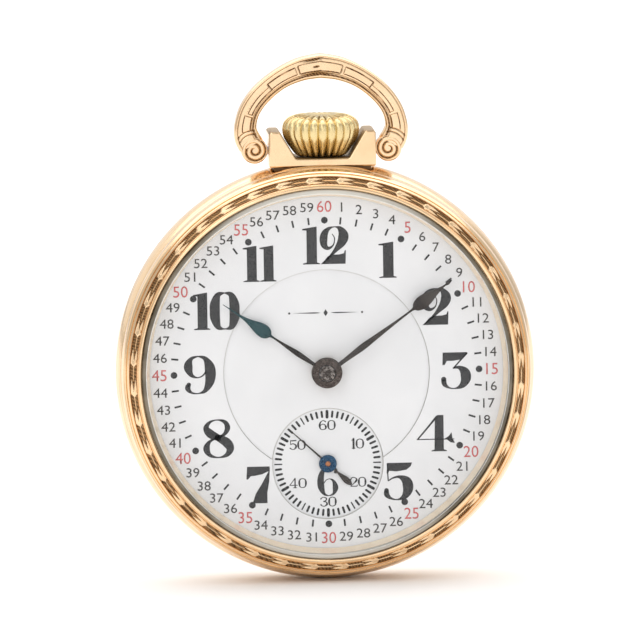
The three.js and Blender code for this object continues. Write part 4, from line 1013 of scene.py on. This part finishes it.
# Light figures for the seconds circle, drawn with strokes only.
THIN, THICK = 0.04, 0.105
LIGHT_ADVANCE = {"0": 0.70, "1": 0.36, "2": 0.66, "3": 0.66, "4": 0.74, "5": 0.64, "6": 0.68}
LIGHT_FIGURES = {
    "0": [[(0.35, 0.98, THIN), (0.12, 0.86, 0.06), (0.06, 0.5, THICK), (0.12, 0.14, 0.06),
           (0.35, 0.02, THIN), (0.58, 0.14, 0.06), (0.64, 0.5, THICK), (0.58, 0.86, 0.06),
           (0.35, 0.98, THIN)]],
    "1": [[(0.22, 1.0, THICK), (0.22, 0.5, THICK), (0.22, 0.02, THICK)],
          [(0.04, 0.84, THIN), (0.16, 0.92, THIN)], [(0.06, 0.02, THIN), (0.38, 0.02, THIN)]],
    "2": [[(0.07, 0.72, 0.07), (0.16, 0.92, 0.05), (0.34, 0.98, THIN), (0.56, 0.86, 0.06),
           (0.58, 0.66, THICK), (0.36, 0.36, 0.05), (0.06, 0.06, THIN)],
          [(0.06, 0.05, 0.05), (0.36, 0.05, 0.05), (0.62, 0.06, 0.05), (0.64, 0.24, 0.02)]],
    "3": [[(0.07, 0.80, 0.07), (0.2, 0.95, 0.04), (0.36, 0.97, THIN), (0.55, 0.84, 0.07),
           (0.5, 0.62, 0.06), (0.28, 0.53, THIN)],
          [(0.28, 0.53, THIN), (0.54, 0.44, 0.06), (0.60, 0.24, THICK), (0.44, 0.05, 0.05),
           (0.24, 0.03, THIN), (0.07, 0.18, 0.07)]],
    "4": [[(0.50, 1.0, 0.07), (0.50, 0.5, 0.07), (0.50, 0.02, 0.07)],
          [(0.47, 0.97, THIN), (0.25, 0.62, THIN), (0.03, 0.28, THIN)],
          [(0.02, 0.28, THIN), (0.36, 0.28, THIN), (0.72, 0.28, THIN)],
          [(0.34, 0.02, THIN), (0.66, 0.02, THIN)]],
    "5": [[(0.12, 0.94, 0.06), (0.34, 0.94, 0.06), (0.58, 0.96, 0.06)],
          [(0.12, 0.96, THIN), (0.11, 0.74, THIN), (0.10, 0.52, THIN)],
          [(0.10, 0.52, THIN), (0.30, 0.62, 0.05), (0.54, 0.50, 0.07), (0.58, 0.28, THICK),
           (0.44, 0.06, 0.05), (0.24, 0.03, THIN), (0.07, 0.16, 0.07)]],
    "6": [[(0.58, 0.86, 0.06), (0.40, 0.98, THIN), (0.17, 0.84, 0.06), (0.07, 0.5, THICK),
           (0.12, 0.14, 0.06), (0.34, 0.02, THIN), (0.56, 0.12, 0.06), (0.61, 0.32, THICK),
           (0.5, 0.54, 0.05), (0.32, 0.6, THIN), (0.14, 0.46, THIN)]],
}


class Sheet:
    """Collects thin figures on one depth and makes one mesh of them.

    height is that of the figure being drawn.
    """

    def __init__(self, front, thickness=0.02):
        self.front = front
        self.thickness = thickness
        self.height = 1.0
        self.verts = []
        self.faces = []

    def solid(self, outline):
        """A closed outline of (x, z), made into a thin solid."""
        self.faces += tube_faces(2, len(outline), len(self.verts))
        for y in (self.front, self.front + self.thickness):
            self.verts += [(x, y, z) for x, z in outline]

    def ribbon(self, nodes, steps=7):
        """A stroke through (x, z, half width). Ends over a tenth of the height are round."""
        line = curve_points(nodes, steps)
        left, right = [], []
        for i, (x, z, half) in enumerate(line):
            along = heading(line, i)
            side = Vector((-along.y, along.x)) * max(half, 0.004)
            left.append((x + side.x, z + side.y))
            right.append((x - side.x, z - side.y))
        start, count = len(self.verts), len(line)
        for pair in zip(left, right):
            for x, z in pair:
                self.verts.append((x, self.front, z))
                self.verts.append((x, self.front + self.thickness, z))
        for i in range(count - 1):
            a, b = start + 4 * i, start + 4 * (i + 1)
            self.faces += [(a, a + 2, b + 2, b), (a + 1, b + 1, b + 3, a + 3),
                           (a, b, b + 1, a + 1), (a + 2, a + 3, b + 3, b + 2)]
        end = start + 4 * (count - 1)
        self.faces += [(start, start + 1, start + 3, start + 2), (end, end + 2, end + 3, end + 1)]
        for x, z, half in (line[0], line[-1]):
            if half > 0.05 * self.height:
                self.solid(circle(half, 24, (x, z)))

    def figure(self, digit, x, z, height, turn=False, slim=1.0, wide=1.0):
        """One figure with its lower left corner at (x, z). turn stands it on its head."""
        self.height = height

        def placed(px, pz):
            if turn:
                px, pz = 0.8 - px, 1.0 - pz
            return x + px * height * wide, z + pz * height

        for kind, nodes in FIGURES[digit]:
            if kind == "poly":
                self.solid([placed(px, pz) for px, pz in nodes])
            else:
                self.ribbon([(*placed(px, pz), half * height * slim) for px, pz, half in nodes])

    def small(self, text, x, z, height):
        """Light, wide figures with hairlines, centred on (x, z)."""
        self.height = height
        wide = 1.2
        gap = 0.08
        width = sum(LIGHT_ADVANCE[c] for c in text) * wide + gap * (len(text) - 1)
        left = x - width * height / 2
        for character in text:
            for nodes in LIGHT_FIGURES[character]:
                self.ribbon([(left + px * wide * height, z + (pz - 0.5) * height, half * height)
                             for px, pz, half in nodes], 5)
            left += (LIGHT_ADVANCE[character] * wide + gap) * height

    def build(self, name, material, body="case", slot_name="dial_enamel"):
        return piece(make(name, self.verts, self.faces, material), body, slot_name)


# Each hour's figures, the place of their middle (x, z), their height and how wide they are set.
HOUR_FIGURES = {
    12: ("12", -0.05, 15.2, 4.5, 0.94), 1: ("1", 7.46, 13.3, 4.3, 1.0),
    2: ("2", 13.08, 7.6, 4.4, 1.0), 3: ("3", 15.35, -0.15, 4.4, 1.0),
    4: ("4", 12.77, -7.6, 4.35, 1.03), 5: ("5", 8.3, -13.3, 4.5, 0.97),
    7: ("7", -8.35, -13.35, 4.4, 1.03), 8: ("8", -13.06, -7.7, 4.65, 1.0),
    9: ("9", -15.2, 0.0, 4.6, 1.0), 10: ("10", -13.05, 7.6, 4.45, 0.91),
    11: ("11", -7.8, 13.15, 4.3, 0.93),
}
ADVANCE = {"0": 0.82, "1": 0.47, "2": 0.72, "3": 0.75, "4": 0.95, "5": 0.72, "7": 0.62,
           "8": 0.77, "9": 0.80}
# The minute track: both ends of a tick and half its width, and the dots at the hours.
TICK_ENDS = (17.75, 18.6)
TICK_HALF = 0.11
DOT_CIRCLE = 18.2
DOT_RADIUS = 0.4


def hour_figures():
    sheet = Sheet(DIAL_FRONT - INK_LIFT)
    gap = 0.03
    for text, x, z, height, wide in HOUR_FIGURES.values():
        width = wide * (sum(ADVANCE[c] for c in text) + gap * (len(text) - 1))
        left = x - width * height / 2
        for character in text:
            sheet.figure(character, left, z - height / 2, height, wide=wide)
            left += wide * (ADVANCE[character] + gap) * height
    for minute in range(60):
        angle = TAU * minute / 60
        if minute % 5 == 0:
            sheet.solid(circle(DOT_RADIUS, 32, spot(DOT_CIRCLE, angle)))
        else:
            sheet.ribbon([(*spot(radius, angle), TICK_HALF) for radius in TICK_ENDS], 1)
    sheet.build("hour_figures", dial_ink)


def text_outline(sheet, text, x, z, height, narrow):
    """Plain figures from Blender's own typeface, centred on (x, z)."""
    curve = bpy.data.curves.new("figures", "FONT")
    curve.body = text
    curve.align_x = "CENTER"
    curve.align_y = "CENTER"
    curve.resolution_u = 3
    holder = bpy.data.objects.new("figures", curve)
    bpy.context.scene.collection.objects.link(holder)
    bpy.context.view_layer.update()
    mesh = bpy.data.meshes.new_from_object(holder)
    across = [v.co.x for v in mesh.vertices]
    upward = [v.co.y for v in mesh.vertices]
    middle_x = (max(across) + min(across)) / 2
    middle_y = (max(upward) + min(upward)) / 2
    scale = height / (max(upward) - min(upward))
    start = len(sheet.verts)
    for v in mesh.vertices:
        sheet.verts.append((x + (v.co.x - middle_x) * scale * narrow, sheet.front,
                            z + (v.co.y - middle_y) * scale))
    for polygon in mesh.polygons:
        sheet.faces.append(tuple(start + i for i in polygon.vertices))
    bpy.data.objects.remove(holder)
    bpy.data.meshes.remove(mesh)
    bpy.data.curves.remove(curve)


MINUTE_CIRCLE = 19.85
FIGURE_THICKNESS = 0.012


def minute_figures():
    """Small figures 1 to 60, every fifth of them red, larger and narrower."""
    black, red = Sheet(DIAL_FRONT - INK_LIFT), Sheet(DIAL_FRONT - INK_LIFT)
    for minute in range(1, 61):
        angle = TAU * minute / 60
        x, z = spot(MINUTE_CIRCLE - 0.1 * math.sin(angle), angle)
        if minute % 5 == 0:
            text_outline(red, str(minute), x, z, 1.36, 0.97)
        else:
            text_outline(black, str(minute), x, z, 1.12, 1.08)
    for figures in (black.build("minute_figures", small_ink),
                    red.build("five_minute_figures", dial_red)):
        modifier = figures.modifiers.new("thin solid", "SOLIDIFY")
        modifier.thickness = FIGURE_THICKNESS * MM
        modifier.offset = 0


SECONDS_CIRCLE = 4.6
# Start, end and half the width of the seconds circle's ticks.
TEN_TICK = (5.55, 6.26, 0.17)
FIVE_TICK = (5.5, 6.3, 0.08)
SINGLE_TICK = (5.62, 6.22, 0.13)


def seconds_figures():
    sheet = Sheet(SECONDS_FRONT - INK_LIFT)
    for number in range(10, 61, 10):
        x, z = spot(SECONDS_CIRCLE, TAU * number / 60, (0, SECONDS_Z))
        sheet.small(str(number), x * 0.9, z, 1.14)
    for second in range(60):
        angle = TAU * second / 60
        start, end, half = SINGLE_TICK
        if second % 10 == 0:
            start, end, half = TEN_TICK
        elif second % 5 == 0:
            start, end, half = FIVE_TICK
        sheet.ribbon([(*spot(radius, angle, (0, SECONDS_Z)), half) for radius in (start, end)], 1)
    sheet.figure("9", -1.2, SECONDS_Z - 3.95, 3.65, turn=True, slim=0.8, wide=0.84)
    sheet.build("seconds_figures", dial_ink)


ORNAMENT_Z = 7.1


def dial_ornament():
    """A plain lozenge with two tapering rules, in place of any name."""
    sheet = Sheet(CENTER_FRONT - INK_LIFT)
    middle = ORNAMENT_Z
    sheet.solid([(0, middle + 0.42), (0.26, middle), (0, middle - 0.42), (-0.26, middle)])
    for side in (-1, 1):
        sheet.ribbon([(side * 0.62, middle, 0.004), (side * 1.4, middle, 0.075),
                      (side * 3.9, middle, 0.004)], 8)
        sheet.solid(circle(0.13, 16, (side * 4.35, middle)))
    sheet.build("dial_ornament", dial_ink)


# ---------------------------------------------------------------- hands

# Front and back of each hand.
HOUR_HAND = (-11.3, -11.12)
MINUTE_HAND = (-11.95, -11.77)
SECONDS_HAND = (-10.47, -10.36)


def blade(name, stations, depths, degrees, material, center=(0.0, 0.0)):
    """A hand from (along, half width) stations, with a soft ridge down its middle."""
    front, back = depths
    line = curve_points(stations, 8)
    columns = (-1.0, -0.72, -0.36, 0.0, 0.36, 0.72, 1.0)
    angle = math.radians(degrees)
    verts = []
    for along, half in line:
        half = max(half, 0.015)
        ridge = 0.09 * min(1.0, half / 0.5)
        section = [(half * c, front + ridge * c * c) for c in columns]
        for x, y in section + [(half, back), (-half, back)]:
            verts.append((center[0] + x * math.cos(angle) + along * math.sin(angle), y,
                          center[1] + along * math.cos(angle) - x * math.sin(angle)))
    return make(name, verts, tube_faces(len(line), len(columns) + 2), material, 50)


def boss(name, outer, inner, front, back):
    """The worn ring that a hand is fixed to its arbor with."""
    profile = softened([(inner, front), (outer, front), (outer, back), (inner, back)], 0.07)
    return turned(name, profile, hub_steel, steps=72)


def hands():
    hour = blade("hour_blade", [
        (1.3, 0.22), (2.2, 0.22), (3.1, 0.28), (4.2, 0.32), (5.4, 0.24), (6.8, 0.14), (7.95, 0.15),
        (8.3, 0.50), (8.7, 0.74), (9.2, 0.81), (9.9, 0.70), (10.7, 0.46), (11.5, 0.26),
        (12.5, 0.13), (13.8, 0.07), (14.9, 0.03),
    ], HOUR_HAND, HOUR_ANGLE, hour_blue)
    piece(hour, "hour_work", "hand_blue", "hour_hand")
    piece(boss("hour_boss", 1.84, 1.45, -11.32, -11.1), "hour_work", "hand_blue")
    minute = blade("minute_blade", [
        (1.2, 0.26), (2.6, 0.26), (4.0, 0.33), (5.3, 0.39), (6.8, 0.32), (8.8, 0.22), (11.2, 0.13),
        (12.7, 0.15), (13.1, 0.48), (13.6, 0.72), (14.2, 0.80), (15.0, 0.70), (15.9, 0.42),
        (16.8, 0.20), (17.5, 0.10), (17.95, 0.20), (18.55, 0.03),
    ], MINUTE_HAND, MINUTE_ANGLE, hand_blue)
    piece(minute, "center", "hand_blue", "minute_hand")
    piece(boss("minute_boss", 1.78, 1.0, -11.99, -11.72), "center", "hand_blue")
    cap = [(0, -12.03), (0.5, -12.06), (0.92, -12.02), (0.98, -11.9), (0.98, -11.75), (0, -11.75)]
    piece(capped("hand_cap", cap, cap_steel, steps=48), "center", "hand_blue")
    needle = blade("seconds_needle", [
        (-3.78, 0.10), (-3.45, 0.30), (-2.9, 0.38), (-2.2, 0.24), (-1.5, 0.12), (-0.8, 0.12),
        (0.8, 0.12), (3.0, 0.09), (6.28, 0.045),
    ], SECONDS_HAND, SECONDS_ANGLE, hand_blue, (0, SECONDS_Z))
    piece(needle, "fourth", "hand_blue", "seconds_hand")
    disc = softened([(0.3, -10.5), (1.06, -10.5), (1.06, -10.3), (0.3, -10.3)], 0.05)
    piece(turned("seconds_boss", disc, seconds_blue, steps=64, center=(0, SECONDS_Z)),
          "fourth", "hand_blue")
    pin = [(0, -10.56), (0.2, -10.55), (0.3, -10.5), (0.3, -10.1), (0, -10.1)]
    piece(capped("seconds_pin", pin, copper_pin, steps=32, center=(0, SECONDS_Z)),
          "fourth", "hand_blue")


# ---------------------------------------------------------------- movement

JEWEL_SETTING = [(0.62, -2.94), (0.78, -2.9), (1.0, -2.9), (1.0, -4.35), (0.62, -4.35)]
JEWEL_STONE = [(0.14, -3.12), (0.3, -3.02), (0.62, -2.96), (0.62, -3.7), (0.14, -3.7)]
SCREW_HEAD = [(0, -3.62), (0.97, -3.62), (0.97, -3.12), (0.9, -3.03), (0.8, -3.0), (0.4, -3.0),
              (0, -3.0)]
SLOT_HALF = (1.2, 0.12)
SLOT_DEPTH = (-3.25, -2.5)


def jewels():
    """Each jewel is a stone with an oil sink, held in a gold ring."""
    for name, place in JEWEL_PLACES.items():
        ring = turned(f"{name}_setting", softened(JEWEL_SETTING, 0.05), train_gold, 48, place)
        piece(ring, "case", "jewel_ruby", name)
        stone = turned(f"{name}_stone", JEWEL_STONE, red_jewel, 40, place)
        piece(stone, "case", "jewel_ruby")


def screws():
    """Blued heads with a slot, over the plain CAD screws."""
    long, wide = SLOT_HALF
    outline = [(-long, -wide), (long, -wide), (long, wide), (-long, wide)]
    for index, (name, (x, z)) in enumerate(SCREW_PLACES.items()):
        turn = 0.7 * index + 0.3
        head = capped(f"{name}_head", SCREW_HEAD, screw_blue, steps=48, center=(x, z))
        cutter = slab(f"{name}_slot", outline, *SLOT_DEPTH, screw_blue)
        cutter.matrix_world = (Matrix.Translation((x * MM, 0, z * MM))
                               @ Matrix.Rotation(turn, 4, "Y"))
        modifier = head.modifiers.new("slot", "BOOLEAN")
        modifier.operation = "DIFFERENCE"
        modifier.object = cutter
        bpy.context.view_layer.update()
        evaluated = head.evaluated_get(bpy.context.evaluated_depsgraph_get())
        head.data = bpy.data.meshes.new_from_object(evaluated)
        head.modifiers.clear()
        bpy.data.objects.remove(cutter)
        piece(head, "case", "screw_blue", name)


RIM_OUTER = 6.6
RIM_INNER = 5.9
RIM_DEPTH = (-5.95, -5.4)
ARM_HALF = 0.55
HUB_OUTER = 1.4
HUB_BORE = 0.35
RIM_SCREWS = 10
# A rim screw from its foot outwards: distance from the wheel's axis, and radius there.
RIM_SCREW = [(6.45, 0.2), (6.72, 0.2), (6.72, 0.33), (7.05, 0.33), (7.13, 0.25)]


def balance_wheel():
    """A round rim on two arms."""
    by_rim = math.asin(ARM_HALF / RIM_INNER)
    by_hub = math.asin(ARM_HALF / HUB_OUTER)
    quarter = math.pi / 2
    loops = [circle(RIM_OUTER, 144, BALANCE), circle(HUB_BORE, 24, BALANCE)]
    for side in (0, math.pi):
        loops.append(arc(RIM_INNER, side - quarter + by_rim, side + quarter - by_rim, 60, BALANCE)
                     + arc(HUB_OUTER, side + quarter - by_hub, side - quarter + by_hub, 20, BALANCE))
    plate_with_holes("balance_rim", loops, *RIM_DEPTH, train_gold, "balance", "train_gold",
                     "balance_wheel")


def balance_screws():
    """The small heads set round the balance's rim."""
    around = 24
    middle = sum(RIM_DEPTH) / 2
    verts, faces = [], []
    for index in range(RIM_SCREWS):
        toward = TAU * (index + 0.5) / RIM_SCREWS
        out_x, out_z = spot(1.0, toward)
        faces += tube_faces(len(RIM_SCREW), around, len(verts))
        for distance, radius in RIM_SCREW:
            for rise, side in circle(radius, around):
                verts.append((BALANCE[0] + out_x * distance + out_z * side, middle + rise,
                              BALANCE[1] + out_z * distance - out_x * side))
    piece(make("balance_rim_screws", verts, faces, train_gold), "balance", "train_gold")


COIL_TURNS = 11
COIL_INNER, COIL_OUTER = 0.8, 3.15
COIL_HALF = 0.03
COIL_FRONT, COIL_WIDTH = -5.15, 0.25


def hairspring():
    """A flat spiral of many turns between the collet and the stud."""
    steps = 20
    count = COIL_TURNS * steps
    nodes = []
    for i in range(count + 1):
        radius = COIL_INNER + (COIL_OUTER - COIL_INNER) * i / count
        nodes.append((*spot(radius, TAU * i / steps, BALANCE), COIL_HALF))
    coil = Sheet(COIL_FRONT, COIL_WIDTH)
    coil.ribbon(nodes, 2)
    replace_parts(coil.build("fine_hairspring", screw_blue, "balance", "hand_blue"), "hairspring")


MOVEMENT_MATERIALS = {
    "bridge_nickel": nickel,
    "movement_steel": polished_steel,
    "train_gold": train_gold,
    "barrel_brass": barrel_brass,
    "hand_blue": screw_blue,
    "screw_blue": screw_blue,
    "jewel_ruby": red_jewel,
}


def paint_cad_nodes():
    """Gives every CAD node that stays a finished material."""
    own = {"ratchet_wheel": ratchet_steel, "crown_wheel": crown_wheel_steel}
    for part in frame["record"]["subparts"]:
        node = frame["nodes"][part["node"]]
        material = own.get(part["node"]) or MOVEMENT_MATERIALS.get(part["material_slot"])
        if material is None:
            continue
        node.data.materials.clear()
        node.data.materials.append(material)


# ---------------------------------------------------------------- stage, light and camera

FLOOR_HALF = 4.0


def floor():
    """A plain pale floor, wide enough to fill the frame from every side."""
    mesh = bpy.data.meshes.new("floor")
    level = cad_box[0][2]
    corners = [(-1, -1), (1, -1), (1, 1), (-1, 1)]
    mesh.from_pydata([(FLOOR_HALF * x, FLOOR_HALF * y, level) for x, y in corners], [],
                     [(0, 1, 2, 3)])
    paint = Paint("paper")
    tone = paint.noise(0.02, 2.0, 0.5)
    paint.attach("Base Color", paint.mix(tone, (0.97, 0.94, 0.92), (0.95, 0.92, 0.90)))
    paint.attach("Roughness", 0.75)
    mesh.materials.append(paint.material)
    obj = bpy.data.objects.new("floor", mesh)
    bpy.context.scene.collection.objects.link(obj)


# Place and aim in metres, width and height, and power of each light.
LIGHTS = {
    "front": ((-0.05, -0.85, 0.12), (0, 0, 0), (1.0, 0.7), 1.3),
    "key": ((-0.35, -0.55, 0.55), (0, 0, 0), (0.5, 0.5), 0.8),
    "fill": ((0.6, -0.45, 0.15), (0, 0, 0), (0.3, 0.6), 0.4),
    "top": ((0.0, -0.05, 0.7), (0, 0, 0), (0.8, 0.5), 1.3),
    "back": ((-0.15, 0.8, 0.45), (0, 0, 0), (1.8, 0.9), 2.0),
    "floor": ((0, 0.9, 1.2), (0, 0.9, 0), (3.0, 1.8), 19.0),
}
WORLD_COLOR = (1.0, 0.99, 0.98, 1.0)
WORLD_STRENGTH = 0.66


def area_light(name, place, target, size, power):
    data = bpy.data.lights.new(name, "AREA")
    data.shape = "RECTANGLE"
    data.size, data.size_y = size
    data.energy = power
    obj = bpy.data.objects.new(name, data)
    obj.location = place
    obj.rotation_euler = (Vector(target) - Vector(place)).to_track_quat("-Z", "Y").to_euler()
    obj.visible_camera = False
    bpy.context.scene.collection.objects.link(obj)


def lighting():
    world = bpy.data.worlds.new("studio")
    world.use_nodes = True
    background = world.node_tree.nodes["Background"]
    background.inputs["Color"].default_value = WORLD_COLOR
    background.inputs["Strength"].default_value = WORLD_STRENGTH
    bpy.context.scene.world = world
    for name, settings in LIGHTS.items():
        area_light(name, *settings)


# Angles in degrees; distance, width seen and the point aimed at in millimetres.
CAMERA_AZIMUTH = -3.3
CAMERA_ELEVATION = 6.4
CAMERA_ROLL = -0.85
CAMERA_DISTANCE = 1600.0
FRAME_WIDTH = 75.8
AIM = (-0.73, -6.0, 6.07)


def camera():
    data = bpy.data.cameras.new("camera")
    data.sensor_width = 36.0
    data.lens = data.sensor_width * CAMERA_DISTANCE / FRAME_WIDTH
    data.clip_start = 0.01
    obj = bpy.data.objects.new("camera", data)
    azimuth, elevation = math.radians(CAMERA_AZIMUTH), math.radians(CAMERA_ELEVATION)
    away = Vector((math.sin(azimuth) * math.cos(elevation),
                   -math.cos(azimuth) * math.cos(elevation), math.sin(elevation)))
    aim = Vector(AIM) * MM
    obj.location = aim + away * CAMERA_DISTANCE * MM
    look = (-away).to_track_quat("-Z", "Y")
    roll = Matrix.Rotation(math.radians(CAMERA_ROLL), 4, "Z")
    obj.matrix_world = Matrix.Translation(obj.location) @ look.to_matrix().to_4x4() @ roll
    bpy.context.scene.collection.objects.link(obj)
    bpy.context.scene.camera = obj


bpy.context.scene.view_settings.view_transform = "Standard"
camera()
floor()
lighting()
case_ring()
bezel_shell()
engraved_band()
crystal()
back_cover()
pendant()
crown()
bow_band()
volute(-1)
volute(1)
dial()
hour_figures()
minute_figures()
seconds_figures()
dial_ornament()
hands()
jewels()
screws()
balance_wheel()
balance_screws()
hairspring()
paint_cad_nodes()
